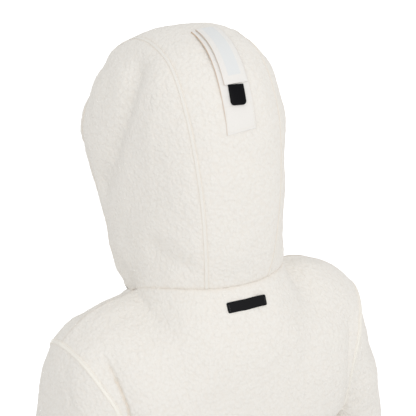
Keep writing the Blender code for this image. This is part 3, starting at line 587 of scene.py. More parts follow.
def top_row(half, steps=1):
    """Give the last row of a half panel, along the neck seam and then the shoulder seam."""
    angles = neck_angles()
    angles = np.interp(np.linspace(0.0, len(angles) - 1.0, (len(angles) - 1) * steps + 1),
                       np.arange(len(angles)), angles)
    if half == "back":
        neck = neck_point(angles[:BACK_NECK_COLUMNS * steps + 1])
    else:
        neck = neck_point(angles[BACK_NECK_COLUMNS * steps:][::-1])
    shoulder = shoulder_line(np.linspace(0.0, 1.0, SHOULDER_COLUMNS * steps + 1))
    return np.concatenate([neck, shoulder[1:]])


def eased(curve, times):
    """Ease a curve's corners, its two ends kept."""
    curve = curve.copy()
    for _ in range(times):
        curve[1:-1] = 0.25 * curve[:-2] + 0.5 * curve[1:-1] + 0.25 * curve[2:]
    return curve


def yoke_rounding(half):
    """Give how far each column rounds out between the shoulder blades and the top row."""
    row = next(dict(zip(YOKE_COLUMNS, row)) for row in YOKE_ROUNDING if row[0] == half)
    neck_columns = NECK_COLUMNS[half]
    places = (0, neck_columns, neck_columns + SHOULDER_COLUMNS)
    middle = (0.0, row["middle_y"], 0.0)
    corner = (row["corner_x"], row["corner_y"], row["corner_z"])
    edge = (row["edge_x"], row["edge_y"], row["edge_z"])
    return smooth_through(places, (middle, corner, edge), np.arange(places[-1] + 1))


def body_half(half):
    """Loft one half of the back or the front, from the hem up to its top row."""
    body = rows_as_columns(BODY_COLUMNS, BODY_SECTIONS)
    arm = rows_as_columns(ARMHOLE_COLUMNS, ARMHOLE_SECTIONS)
    curves = []
    for i in range(len(BODY_SECTIONS)):
        middle = (0.0, body[half + "_y"][i], body[half + "_z"][i])
        edge = (body["side_x"][i], body["side_y"][i], body["side_z"][i])
        curves.append(section_curve(panel_columns(half, 0.0), middle, edge, BODY_WRAP))
    for i in range(len(ARMHOLE_SECTIONS)):
        middle = (0.0, arm[half + "_y"][i], arm[half + "_z"][i])
        edge = [arm[half + "_" + axis + "_edge"][i] for axis in "xyz"]
        across = panel_columns(half, (i + 1.0) / len(ARMHOLE_SECTIONS))
        curves.append(section_curve(across, middle, edge, arm["wrap"][i]))
    top = top_row(half)
    blade = curves[-1]
    rounding = yoke_rounding(half)
    for step in YOKE_STEPS:
        curve = blade + (top - blade) * step + rounding * 4.0 * step * (1.0 - step)
        curves.append(eased(curve, round(YOKE_EASING * (1.0 - step))))
    curves.append(top)
    if half == "front":
        for curve in curves[:-1]:
            curve[:, 0] = FRONT_EDGE_X + curve[:, 0] * (1.0 - FRONT_EDGE_X / curve[-1, 0])
    lower = len(BODY_SECTIONS) - 1
    upper = len(ARMHOLE_SECTIONS) + len(YOKE_STEPS) + 1
    places = np.concatenate([np.arange(lower), lower + np.arange(upper + 1)])
    wanted = np.concatenate([
        np.linspace(0.0, lower, LOWER_ROWS + 1),
        lower + np.linspace(0.0, upper, ARMHOLE_ROWS + 1)[1:],
    ])
    return smooth_through(places, np.array(curves), wanted)


def hood_half():
    """Loft one half of the hood from the neck seam to its front edge."""
    table = rows_as_columns(HOOD_COLUMNS, HOOD_SECTIONS)
    fractions = np.linspace(0.0, 1.0, CENTRE_COLUMNS + 1)
    curves = [neck_point(neck_angles())]
    for i in range(len(HOOD_SECTIONS)):
        seam = math.radians(table["seam_angle"][i])
        end = math.pi - math.asin(table["end_x"][i] / table["half_width"][i])
        side = np.linspace(seam, end, SIDE_COLUMNS + 1)
        angle = np.concatenate([fractions * seam, side[1:]])
        turned = (1.0 - np.cos(angle)) / (1.0 - math.cos(end))
        full = 1.0 + HOOD_FULLNESS * np.sin(2.0 * np.minimum(angle, 0.5 * math.pi)) ** 2
        x = table["half_width"][i] * np.sin(angle) * full
        y = table["end_y"][i] + (table["mid_y"][i] - table["end_y"][i]) * (1.0 - turned) * full
        z = table["end_z"][i] + (table["mid_z"][i] - table["end_z"][i]) * (1.0 - turned) * full
        curves.append(np.stack([x, y, z], axis=-1))
    places = np.arange(len(curves))
    wanted = np.linspace(0.0, len(curves) - 1.0, HOOD_ROWS + 1)
    return smooth_through(places, np.array(curves), wanted)


def sleeve_tube(back, front):
    """Loft a sleeve from the armhole, made of the two panels' edges, down to the cuff."""
    table = rows_as_columns(SLEEVE_COLUMNS, SLEEVE_SECTIONS)
    up = back[LOWER_ROWS:, -1]
    down = front[LOWER_ROWS:, -1][::-1]
    armhole = np.concatenate([up, down[1:-1]])
    angle = np.linspace(0.0, 2.0 * math.pi, len(armhole), endpoint=False)
    curves = [armhole]
    for i in range(len(SLEEVE_SECTIONS)):
        inner = np.array([table["inner_x"][i], table["mid_y"][i], table["inner_z"][i]])
        outer = np.array([table["outer_x"][i], table["mid_y"][i], table["outer_z"][i]])
        depth = np.array([0.0, table["half_depth"][i], 0.0])
        middle = 0.5 * (inner + outer)
        reach = 0.5 * (outer - inner)
        ring = middle - np.cos(angle)[:, None] * reach + np.sin(angle)[:, None] * depth
        curves.append(ring)
    places = np.arange(len(curves))
    wanted = np.linspace(0.0, len(curves) - 1.0, SLEEVE_ROWS + 1)
    return smooth_through(places, np.array(curves), wanted)


def mirrored(grid):
    """Mirror a grid to the wearer's right."""
    return grid * np.array([-1.0, 1.0, 1.0])


def both_halves(grid):
    """Join a half grid and its mirror image across the middle line, right side first."""
    return np.concatenate([mirrored(grid)[:, ::-1], grid[:, 1:]], axis=1)


def named_panels(back, front, hood, sleeve, centre_columns):
    """Share the half surfaces out among the panels, each panel's faces turned outward."""
    grids = {
        "back": both_halves(back),
        "front_left": front,
        "front_right": mirrored(front)[:, ::-1],
        "sleeve_left": sleeve,
        "sleeve_right": mirrored(sleeve)[:, ::-1],
        "hood_side_left": hood[:, centre_columns:],
        "hood_centre": both_halves(hood[:, :centre_columns + 1]),
        "hood_side_right": mirrored(hood[:, centre_columns:])[:, ::-1],
    }
    for name in ("back", "hood_centre", "hood_side_left", "hood_side_right"):
        grids[name] = grids[name][:, ::-1]
    return {name: grid * MM for name, grid in grids.items()}


def join_sides(back, front, rows):
    """Move the side edges of back and front onto one line, over a number of rows."""
    seam = (back[:rows, -1] + front[:rows, -1]) / 2.0
    back[:rows, -1] = seam
    front[:rows, -1] = seam


def coarse_halves():
    """Work out the half surfaces with their coarse rows and columns, in millimetres."""
    back = body_half("back")
    front = body_half("front")
    join_sides(back, front, LOWER_ROWS + 1)
    return {"back": back, "front": front, "hood": hood_half(), "sleeve": sleeve_tube(back, front)}


def finer(values, steps):
    """Put more rows between the rows of a grid, on a smooth curve."""
    count = len(values) - 1
    return smooth_through(np.arange(count + 1), values, np.linspace(0.0, count, count * steps + 1))


def finer_body(half, grid):
    """Put more rows and columns into a half of the body, its underarm corner kept."""
    wide = finer(grid.swapaxes(0, 1), BODY_COLUMN_STEPS).swapaxes(0, 1)
    wide[-1] = top_row(half, BODY_COLUMN_STEPS)
    rows = np.concatenate([
        np.linspace(0.0, LOWER_ROWS, LOWER_ROWS * LOWER_ROW_STEPS + 1),
        np.linspace(LOWER_ROWS, LOWER_ROWS + ARMHOLE_ROWS, ARMHOLE_ROWS * UPPER_ROW_STEPS + 1)[1:],
    ])
    whole = smooth_through(np.arange(len(wide)), wide, rows)
    low = finer(wide[:LOWER_ROWS + 1], LOWER_ROW_STEPS)
    high = finer(wide[LOWER_ROWS:], UPPER_ROW_STEPS)
    parted = np.concatenate([low, high[1:]])
    away = np.arange(whole.shape[1])[::-1] / (UNDERARM_EASING * BODY_COLUMN_STEPS)
    near = (np.clip(1.0 - away, 0.0, 1.0) ** 2)[None, :, None]
    return whole * (1.0 - near) + parted * near


def finer_ring(grid, steps):
    """Put more columns into a grid whose columns close on themselves."""
    count = grid.shape[1]
    parts = [grid[:, -RING_OVERLAP:], grid, grid[:, :RING_OVERLAP]]
    around = np.concatenate(parts, axis=1).swapaxes(0, 1)
    wanted = RING_OVERLAP + np.arange(count * steps) / steps
    return smooth_through(np.arange(len(around)), around, wanted).swapaxes(0, 1)


def fine_panels(halves):
    """Work out every panel's outer points on its fine grid, in metres, before the folds."""
    back = finer_body("back", halves["back"])
    front = finer_body("front", halves["front"])
    low = LOWER_ROWS * LOWER_ROW_STEPS
    join_sides(back, front, low + 1)
    hood = finer(halves["hood"].swapaxes(0, 1), HOOD_COLUMN_STEPS).swapaxes(0, 1)
    hood = finer(hood, HOOD_ROW_STEPS)
    sleeve = finer_ring(halves["sleeve"], UPPER_ROW_STEPS)
    sleeve[0] = np.concatenate([back[low:, -1], front[low:, -1][::-1][1:-1]])
    sleeve = finer(sleeve, SLEEVE_ROW_STEPS)
    return named_panels(back, front, hood, sleeve, CENTRE_COLUMNS * HOOD_COLUMN_STEPS)


def is_tube(name):
    """Tell whether a panel's columns close on themselves."""
    return name.startswith("sleeve")


def surface_of(name):
    """Name the surface a panel belongs to: the body, a sleeve or the hood."""
    first = name.split("_")[0]
    return "body" if first in ("back", "front") else first


def shared_normals(grids):
    """Give each grid point a normal, halfway between the surfaces' own where surfaces meet."""
    keys = {}
    own = {}
    for name, grid in grids.items():
        ring = np.concatenate([grid, grid[:, :1]], axis=1) if is_tube(name) else grid
        cross = np.cross(ring[1:, 1:] - ring[:-1, :-1], ring[1:, :-1] - ring[:-1, 1:])
        total = np.zeros_like(ring)
        for a in (0, 1):
            for b in (0, 1):
                total[a:total.shape[0] - 1 + a, b:total.shape[1] - 1 + b] += cross
        if is_tube(name):
            total[:, 0] += total[:, -1]
            total = total[:, :-1]
        own[name] = total
        keys[name] = np.round(grid / SAME_PLACE).astype(np.int64)
    shared = {}
    for name, total in own.items():
        for i, j in border_places(*total.shape[:2], is_tube(name)):
            sums = shared.setdefault(tuple(keys[name][i, j]), {})
            surface = surface_of(name)
            sums[surface] = sums.get(surface, 0.0) + total[i, j]
    normals = {}
    for name, total in own.items():
        found = unit(total)
        for i, j in border_places(*total.shape[:2], is_tube(name)):
            sums = shared[tuple(keys[name][i, j])].values()
            found[i, j] = unit(sum(unit(part) for part in sums))
        normals[name] = found
    return normals


def border_places(rows, columns, tube):
    """List the row and column of every point on a grid's border."""
    places = [(i, j) for i in (0, rows - 1) for j in range(columns)]
    if not tube:
        places += [(i, j) for j in (0, columns - 1) for i in range(1, rows - 1)]
    return places


def grid_point(grid, row, column):
    """Read a grid between its points."""
    i = min(int(row), grid.shape[0] - 2)
    j = min(int(column), grid.shape[1] - 2)
    u = row - i
    v = column - j
    near = grid[i, j] * (1.0 - v) + grid[i, j + 1] * v
    far = grid[i + 1, j] * (1.0 - v) + grid[i + 1, j + 1] * v
    return near * (1.0 - u) + far * u


def fold_line(halves, fold, count):
    """Give the points along one fold, read between its two ends on the named surface."""
    grid = halves[fold["surface"]] * MM
    along, across = (
        np.linspace(fold[way + "_1"], fold[way + "_2"], count) * (grid.shape[axis] - 1)
        for axis, way in enumerate(("along", "across"))
    )
    points = np.array([grid_point(grid, i, j) for i, j in zip(along, across)])
    return points * np.array([fold["side"], 1.0, 1.0])


def fold_heights(points, halves, folds, count):
    """Sum how far each point is raised or sunk by the folds near it."""
    total = np.zeros(points.shape[:-1])
    for row in folds:
        fold = dict(zip(FOLD_COLUMNS, row))
        width = fold["width"] * MM
        line = fold_line(halves, fold, count)
        low = line.min(axis=0) - FOLD_REACH * width
        high = line.max(axis=0) + FOLD_REACH * width
        near = np.all((points > low) & (points < high), axis=-1)
        if not near.any():
            continue
        chosen = points[near]
        away = np.full(len(chosen), np.inf)
        for point in line:
            away = np.minimum(away, np.sum((chosen - point) ** 2, axis=1))
        total[near] += fold["height"] * MM * np.exp(-away / width ** 2)
    return total


def edge_distances(grid, tube):
    """Give each point's distance along the cloth from the grid's four edges."""
    down = np.linalg.norm(np.diff(grid, axis=0), axis=2)
    far = {"bottom": np.vstack([np.zeros(grid.shape[1]), np.cumsum(down, axis=0)])}
    far["top"] = far["bottom"][-1] - far["bottom"]
    if not tube:
        side = np.linalg.norm(np.diff(grid, axis=1), axis=2)
        far["first"] = np.hstack([np.zeros((grid.shape[0], 1)), np.cumsum(side, axis=1)])
        far["last"] = far["first"][:, -1:] - far["first"]
    return far


def smooth_step(value, low, high):
    """Rise smoothly from 0 at the low value to 1 at the high one."""
    t = np.clip((value - low) / (high - low), 0.0, 1.0)
    return t * t * (3.0 - 2.0 * t)


def nub_heights(points, size):
    """Give each point's height in the curly pile, about -1 to 1."""
    noise.seed_set(NUB_SEED)
    scale = 1.0 / size
    heights = np.empty(len(points))
    for index, point in enumerate(points.tolist()):
        place = Vector(point)
        warp = noise.noise_vector(place * (NUB_WARP_SCALE * scale)) * (NUB_WARP * size)
        near = noise.voronoi((place + warp) * scale)[0][0]
        swell = noise.noise(place * (NUB_SWELL_SCALE * scale))
        heights[index] = NUB_TOP - NUB_FALL * near + NUB_SWELL * swell
    return heights


def soft_waves(points, scale, seed):
    """Give each point's height in slow uneven waves of the cloth, about -1 to 1."""
    shift = WAVE_SHIFT * seed
    return np.array([noise.noise(Vector(point) * scale + shift) for point in points.tolist()])


def linked(name, data):
    """Make an object of some data and put it in the scene."""
    item = bpy.data.objects.new(name, data)
    bpy.context.scene.collection.objects.link(item)
    return item


def smooth_mesh(name, points, faces):
    """Make a smooth mesh of points and faces."""
    mesh = bpy.data.meshes.new(name)
    mesh.from_pydata(points, [], faces)
    mesh.shade_smooth()
    return mesh


def write_map(mesh, places):
    """Give a mesh its own map, from a place in centimetres for every point."""
    loops = np.empty(len(mesh.loops), dtype=np.int32)
    mesh.loops.foreach_get("vertex_index", loops)
    uv = mesh.uv_layers.new(name="UVMap")
    uv.data.foreach_set("uv", places[loops].astype(np.float32).reshape(-1))


def grid_faces(rows, columns, tube, start=0, inward=False):
    """List the faces of a grid of points, turned outward or inward."""
    turn = columns if tube else columns - 1
    i, j = np.meshgrid(np.arange(rows - 1), np.arange(turn), indexing="ij")
    k = (j + 1) % columns
    a, b, c, d = i * columns + j, i * columns + k, (i + 1) * columns + k, (i + 1) * columns + j
    corners = (a, d, c, b) if inward else (a, b, c, d)
    return (np.stack(corners, axis=-1).reshape(-1, 4) + start).tolist()


def closed_wall(name, outer, inner, tube):
    """Join a fine outer grid to a coarser inner one, with a rounded rim between them."""
    rows, columns = outer.shape[:2]
    low_rows, low_columns = inner.shape[:2]
    start = rows * columns
    points = [outer.reshape(-1, 3), inner.reshape(-1, 3)]
    faces = grid_faces(rows, columns, tube)
    outer_count = len(faces)
    faces += grid_faces(low_rows, low_columns, tube, start, inward=True)
    inner_count = len(faces)
    total = start + low_rows * low_columns
    low_loops = rim_loops(low_rows, low_columns, tube)
    for loop, low_loop in zip(rim_loops(rows, columns, tube), low_loops):
        low_loop = low_loop + start
        flat = np.concatenate(points)
        along = flat[np.roll(loop, -1)] - flat[np.roll(loop, 1)]
        under = np.empty((len(loop), 3))
        under[0::2] = flat[low_loop]
        under[1::2] = 0.5 * (flat[low_loop] + flat[np.roll(low_loop, -1)])
        wall = flat[loop] - under
        out = unit(np.cross(along, wall))
        thick = np.linalg.norm(wall, axis=1, keepdims=True)
        points.append(0.5 * (flat[loop] + under) + out * RIM_BULGE * thick)
        count = len(loop)
        mid = total + np.arange(count)
        total += count
        for a in range(count):
            b = (a + 1) % count
            faces.append([int(loop[b]), int(loop[a]), int(mid[a]), int(mid[b])])
        half = len(low_loop)
        for a in range(half):
            b = (a + 1) % half
            m0, m1, m2 = int(mid[2 * a]), int(mid[2 * a + 1]), int(mid[(2 * a + 2) % count])
            n0, n1 = int(low_loop[a]), int(low_loop[b])
            faces += [[m1, m0, n0], [m1, n0, n1], [m2, m1, n1]]
    mesh = smooth_mesh(name, np.concatenate(points).tolist(), faces)
    mesh.validate()
    index = np.zeros(len(mesh.polygons), dtype=np.int32)
    index[outer_count:inner_count] = 1
    mesh.polygons.foreach_set("material_index", index)
    return mesh


def rim_loops(rows, columns, tube):
    """Give a grid's border as closed rows of point numbers, in the order of its faces."""
    if tube:
        bottom = np.arange(columns)
        top = (rows - 1) * columns + np.arange(columns)[::-1]
        return [bottom, np.roll(top, 1)]
    bottom = np.arange(columns - 1)
    right = np.arange(rows - 1) * columns + columns - 1
    top = (rows - 1) * columns + np.arange(columns - 1, 0, -1)
    left = np.arange(rows - 1, 0, -1) * columns
    return [np.concatenate([bottom, right, top, left])]


def panel_relief(name, grid, settings):
    """Give each point's height over the folded cloth, and how far it lies in a pressed line or
    crease, which also sets its painted shade.
    """
    far = edge_distances(grid, is_tube(name))
    amount = np.ones(grid.shape[:2])
    sink = np.zeros(grid.shape[:2])
    pressed_and_shade = np.zeros(grid.shape[:2])
    for edge, kind in PANEL_EDGES[name].items():
        distance = far[edge]
        if kind in SEAM_LOOKS:
            least, depth, shade_share = SEAM_LOOKS[kind]
            full = least + (1.0 - least) * smooth_step(distance, *SEAM_PILE_REACH)
            amount = np.minimum(amount, full)
            sink -= depth * settings.seam_depth * np.exp(-(distance / SEAM_WIDTH) ** 2)
            pressed_and_shade = np.maximum(pressed_and_shade, shade_share * np.exp(-(distance / SEAM_SHADE_WIDTH) ** 2))
            continue
        line = STITCH_LINES[kind]
        press = np.exp(-((distance - line) / STITCH_WIDTH) ** 2)
        amount = np.minimum(amount, 1.0 - STITCH_PRESS_AND_SHADE * press)
        pressed_and_shade = np.maximum(pressed_and_shade, STITCH_PRESS_AND_SHADE * press)
        sink -= STITCH_DEPTH * press
        sink -= RIM_DEPTH * (1.0 - smooth_step(distance, 0.0, RIM_REACH))
        sink += TURNED_HEIGHT * (1.0 - smooth_step(distance, line - TURNED_EASING, line))
    flat = grid.reshape(-1, 3)
    nubs = nub_heights(flat, settings.nub_size).reshape(grid.shape[:2])
    waves = soft_waves(flat, WAVE_SCALE, 1.0).reshape(grid.shape[:2])
    lumps = soft_waves(flat, LUMP_SCALE, 2.0).reshape(grid.shape[:2])
    fade = 1.0 - np.exp(-(np.minimum.reduce(list(far.values())) / WAVE_FADE) ** 2)
    creases = FORM["creases"][name]
    relief = (nubs * settings.pile_height + lumps * LUMP_HEIGHT) * amount
    relief += sink + waves * WAVE_HEIGHT * fade + creases
    creased = np.clip((-creases - CREASE_START) / CREASE_RANGE, 0.0, CREASE_PRESS_AND_SHADE)
    return relief, np.maximum(pressed_and_shade, creased)


def dress_panel(name, grid, normals, settings, materials):
    """Build one panel of fleece with its pile outside and its plain knit inside."""
    relief, pressed_and_shade = panel_relief(name, grid, settings)
    outer = grid + normals * relief[..., None]
    inner = grid[::2, ::2] - normals[::2, ::2] * CLOTH
    mesh = closed_wall("fleece_" + name, outer, inner, is_tube(name))
    attribute = mesh.attributes.new("pressed_and_shade", "FLOAT", "POINT")
    values = np.zeros(len(mesh.vertices), dtype=np.float32)
    values[:pressed_and_shade.size] = pressed_and_shade.reshape(-1)
    attribute.data.foreach_set("value", values)
    for material in materials:
        mesh.materials.append(material)
    piece = linked("fleece_" + name, mesh)
    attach(piece, GARMENT)
    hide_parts(name)
    return piece


def resampled(points, pitch, closed=False):
    """Give the whole and part row numbers that lie a pitch apart along a row of points."""
    line = np.concatenate([points, points[:1]]) if closed else points
    run = run_along(line)
    count = max(int(round(run[-1] / pitch)), 1)
    wanted = np.linspace(0.0, run[-1], count + 1)
    return np.interp(wanted, run, np.arange(len(line))), run[-1] / count


def read_rows(values, places, closed=False):
    """Read rows of a table at part row numbers."""
    line = np.concatenate([values, values[:1]]) if closed else values
    low = np.clip(places.astype(int), 0, len(line) - 2)
    part = (places - low)[:, None]
    return line[low] * (1.0 - part) + line[low + 1] * part


def sweep(name, points, normals, profile, closed):
    """Run a closed profile of (across, height) pairs, in metres, along a curve on the cloth."""
    along = np.roll(points, -1, axis=0) - np.roll(points, 1, axis=0)
    if not closed:
        along[0] = points[1] - points[0]
        along[-1] = points[-1] - points[-2]
    across = unit(np.cross(along, normals))
    rings = (points[:, None] + across[:, None] * profile[None, :, :1]
             + normals[:, None] * profile[None, :, 1:])
    count, size = rings.shape[:2]
    faces = []
    last = count if closed else count - 1
    for i in range(last):
        for j in range(size):
            k = (j + 1) % size
            m = (i + 1) % count
            faces.append((i * size + j, i * size + k, m * size + k, m * size + j))
    if not closed:
        faces.append(tuple(range(size))[::-1])
        faces.append(tuple((count - 1) * size + j for j in range(size)))
    mesh = smooth_mesh(name, rings.reshape(-1, 3).tolist(), faces)
    pair = np.broadcast_arrays(profile[None, :, 0], run_along(points)[:, None])
    write_map(mesh, np.stack(pair, axis=-1).reshape(-1, 2) * MAP_SCALE)
    return mesh


def open_for_editing(item):
    """Select an object alone and open its mesh for editing, all of it selected."""
    bpy.ops.object.select_all(action="DESELECT")
    bpy.context.view_layer.objects.active = item
    item.select_set(True)
    bpy.ops.object.mode_set(mode="EDIT")
    bpy.ops.mesh.select_all(action="SELECT")


def close_outward():
    """Turn all faces of the mesh in editing outward and close it."""
    bpy.ops.mesh.select_all(action="SELECT")
    bpy.ops.mesh.normals_make_consistent(inside=False)
    bpy.ops.object.mode_set(mode="OBJECT")


def turned_outward(mesh):
    """Turn a closed mesh's faces outward."""
    item = linked("turning", mesh)
    open_for_editing(item)
    close_outward()
    bpy.data.objects.remove(item)
    return mesh


def stitch_row(name, points, normals, offset, height, settings, closed=False, slant=0.0):
    """Lay a row of short raised thread stitches along a curve, to one side of it."""
    places, _ = resampled(points, settings.stitch_pitch, closed)
    base = read_rows(points, places, closed)
    up = unit(read_rows(normals, places, closed))
    side = np.cross(unit(np.gradient(base, axis=0)), up)
    base = base + side * offset + up * height
    radius = settings.thread_radius
    turn = np.linspace(0.0, 2.0 * math.pi, STITCH_SIDES, endpoint=False)
    vertices = []
    faces = []
    for i in range(len(base) - 1):
        start, end = (base[i] + (base[i + 1] - base[i]) * share for share in STITCH_ENDS)
        end = end + side[i] * slant
        first = len(vertices)
        for along, rise, full in STITCH_RINGS:
            centre = start + (end - start) * along + up[i] * rise * radius
            for angle in turn:
                vertices.append(centre + radius * full * (side[i] * math.cos(angle)
                                                          + up[i] * math.sin(angle)))
        for ring in range(len(STITCH_RINGS) - 1):
            for j in range(STITCH_SIDES):
                k = (j + 1) % STITCH_SIDES
                a = first + ring * STITCH_SIDES
                b = a + STITCH_SIDES
                faces.append((a + j, b + j, b + k, a + k))
        faces.append(tuple(first + j for j in range(STITCH_SIDES)))
        last = first + (len(STITCH_RINGS) - 1) * STITCH_SIDES
        faces.append(tuple(last + j for j in range(STITCH_SIDES))[::-1])
    return smooth_mesh(name, [tuple(vertex) for vertex in vertices], faces)


def joined_mesh(name, meshes):
    """Join several meshes into one."""
    points = []
    faces = []
    for mesh in meshes:
        first = len(points)
        points.extend(tuple(vertex.co) for vertex in mesh.vertices)
        faces.extend(tuple(first + index for index in face.vertices) for face in mesh.polygons)
        bpy.data.meshes.remove(mesh)
    return smooth_mesh(name, points, faces)


def add_piece(name, mesh, material, nodes=()):
    """Put a piece on the garment with its material."""
    mesh.materials.append(material)
    piece = linked(name, mesh)
    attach(piece, GARMENT)
    if nodes:
        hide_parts(*nodes)
    return piece


class HoodieSettings(bpy.types.PropertyGroup):
    """Sizes and colours that a user would change."""

    pile_height: bpy.props.FloatProperty(
        name="Pile height", description="Half the height of the curly pile",
        default=0.0006, min=0.0, unit="LENGTH")
    nub_size: bpy.props.FloatProperty(
        name="Nub size", description="Spacing of the pile's nubs",
        default=0.0050, min=0.001, unit="LENGTH")
    seam_depth: bpy.props.FloatProperty(
        name="Seam depth", description="How far the cloth sinks along a seam",
        default=0.0009, min=0.0, unit="LENGTH")
    stitch_pitch: bpy.props.FloatProperty(
        name="Stitch length", description="Length of one stitch and its gap",
        default=0.0034, min=0.001, unit="LENGTH")
    thread_radius: bpy.props.FloatProperty(
        name="Thread radius", description="Half the thickness of the sewing thread",
        default=0.00032, min=0.0001, unit="LENGTH")
    strap_lift: bpy.props.FloatProperty(
        name="Strap lift", description="How far the hood strap stands off between its sewn ends",
        default=0.0007, min=0.0, unit="LENGTH")
    fleece_colour: bpy.props.FloatVectorProperty(
        name="Fleece", description="Colour of the pile", subtype="COLOR", size=3,
        default=(0.87, 0.845, 0.80), min=0.0, max=1.0)
    # Painted warm shade for the pile's hollows, its seams and creases, and the seam bands' edges
    hollow_shade_colour: bpy.props.FloatVectorProperty(
        name="Painted hollow shade", description="Painted warm shade between the nubs, along seams and creases and at band edges",
        subtype="COLOR", size=3, default=(0.78, 0.67, 0.55), min=0.0, max=1.0)
    knit_colour: bpy.props.FloatVectorProperty(
        name="Knit back", description="Colour of the cloth's smooth inside", subtype="COLOR",
        size=3, default=(0.80, 0.77, 0.71), min=0.0, max=1.0)
    thread_colour: bpy.props.FloatVectorProperty(
        name="Thread", description="Colour of the stitching and seam bands", subtype="COLOR",
        size=3, default=(0.925, 0.895, 0.83), min=0.0, max=1.0)
    twill_colour: bpy.props.FloatVectorProperty(
        name="Twill", description="Colour of the hood strap", subtype="COLOR", size=3,
        default=(0.88, 0.86, 0.83), min=0.0, max=1.0)
    cool_colour: bpy.props.FloatVectorProperty(
        name="Smooth stripe", description="Colour of the smooth stripe on the tape",
        subtype="COLOR", size=3, default=(0.77, 0.785, 0.785), min=0.0, max=1.0)
    black_colour: bpy.props.FloatVectorProperty(
        name="Black", description="Colour of the tab and the label", subtype="COLOR", size=3,
        default=(0.003, 0.003, 0.004), min=0.0, max=1.0)


def feed(tree, node, inputs):
    """Feed a node's inputs, named or numbered, with sockets or plain values."""
    for key, value in inputs.items():
        if isinstance(value, bpy.types.NodeSocket):
            tree.links.new(value, node.inputs[key])
        else:
            node.inputs[key].default_value = value


def add_node(tree, kind, inputs, **values):
    """Add a node, set its properties and feed its inputs."""
    node = tree.nodes.new(kind)
    for key, value in values.items():
        setattr(node, key, value)
    feed(tree, node, inputs)
    return node


def new_material(name, space="Object"):
    """Make an empty node material: its nodes, its shader and the place on the object or map."""
    material = bpy.data.materials.new(name)
    material.use_nodes = True
    tree = material.node_tree
    tree.nodes.clear()
    shader = add_node(tree, "ShaderNodeBsdfPrincipled", {})
    add_node(tree, "ShaderNodeOutputMaterial", {"Surface": shader.outputs["BSDF"]})
    return material, tree, shader, add_node(tree, "ShaderNodeTexCoord", {}).outputs[space]


def math_node(tree, operation, *values, clamp=False):
    """Add a Math node fed by sockets or numbers."""
    return add_node(tree, "ShaderNodeMath", dict(enumerate(values)), operation=operation,
                    use_clamp=clamp).outputs[0]


def mixed_colour(tree, factor, first, second):
    """Mix two colours, given as values or sockets, by a factor."""
    first, second = (value if isinstance(value, bpy.types.NodeSocket) else (*value[:3], 1.0)
                     for value in (first, second))
    inputs = {0: factor, 6: first, 7: second}
    return add_node(tree, "ShaderNodeMix", inputs, data_type="RGBA").outputs[2]


def tinted(tree, amount, share, first, second):
    """Mix up to a share of the second colour into the first, by an amount."""
    return mixed_colour(tree, math_node(tree, "MULTIPLY", amount, share), first, second)


def scaled_noise(tree, place, scale, detail=2.0, roughness=0.5, output="Fac"):
    """Add a noise texture of a given scale on a place and give one of its outputs."""
    inputs = {"Scale": scale, "Detail": detail, "Roughness": roughness, "Vector": place}
    return add_node(tree, "ShaderNodeTexNoise", inputs).outputs[output]


def across_and_along(tree, place):
    """Part a place on a piece's map into across and along."""
    parts = add_node(tree, "ShaderNodeSeparateXYZ", {0: place})
    return parts.outputs["X"], parts.outputs["Y"]


def finish_look(tree, shader, kind, colour, height, **more):
    """Feed a shader its colour, its bumps and the plain values of its kind of look."""
    strength, depth, values = LOOK_VALUES[kind]
    bump = add_node(tree, "ShaderNodeBump",
                    {"Strength": strength, "Distance": depth, "Height": height})
    feed(tree, shader, {"Base Color": colour, "Normal": bump.outputs["Normal"], **values, **more})


def fleece_material(settings):
    """Curly pile: soft nubs with fine curls on them, with painted warm shade in the hollows and
    along seams, stitch lines and creases.
    """
    material, tree, shader, place = new_material("fleece_pile")
    sway = scaled_noise(tree, place, scale=230.0, detail=1.0, output="Color")
    swayed = add_node(tree, "ShaderNodeVectorMath", {0: sway, 1: (PILE_SWAY,) * 3, 2: place},
                      operation="MULTIPLY_ADD").outputs[0]
    nubs = add_node(tree, "ShaderNodeTexVoronoi",
                    {"Scale": 215.0, "Smoothness": 0.35, "Vector": swayed}, feature="SMOOTH_F1")
    curls = scaled_noise(tree, swayed, scale=620.0, detail=3.0, roughness=0.65)
    hollow = math_node(tree, "MULTIPLY", nubs.outputs["Distance"], 1.25, clamp=True)
    rounded = math_node(tree, "SUBTRACT", 1.0, math_node(tree, "POWER", hollow, 1.6))
    height = math_node(tree, "MULTIPLY_ADD", curls, 0.55, rounded)
    pressed_and_shade = add_node(tree, "ShaderNodeAttribute", {}, attribute_name="pressed_and_shade").outputs["Fac"]
    lively = math_node(tree, "SUBTRACT", 1.0, math_node(tree, "MULTIPLY", pressed_and_shade, 0.75))
    # Painted warm shade: deeper between the nub tops, and more along pressed seams, stitch lines
    # and creases
    between = math_node(tree, "SUBTRACT", 1.15, height, clamp=True)
    painted_shade = math_node(tree, "MULTIPLY", between, 0.16)
    painted_shade = math_node(tree, "MULTIPLY_ADD", pressed_and_shade, 0.75, painted_shade, clamp=True)
    broad = scaled_noise(tree, place, scale=14.0)
    pale = tinted(tree, broad, 0.10, settings.fleece_colour, PALE_PILE)
    colour = mixed_colour(tree, painted_shade, pale, settings.hollow_shade_colour)
    finish_look(tree, shader, "fleece", colour, math_node(tree, "MULTIPLY", height, lively))
    return material


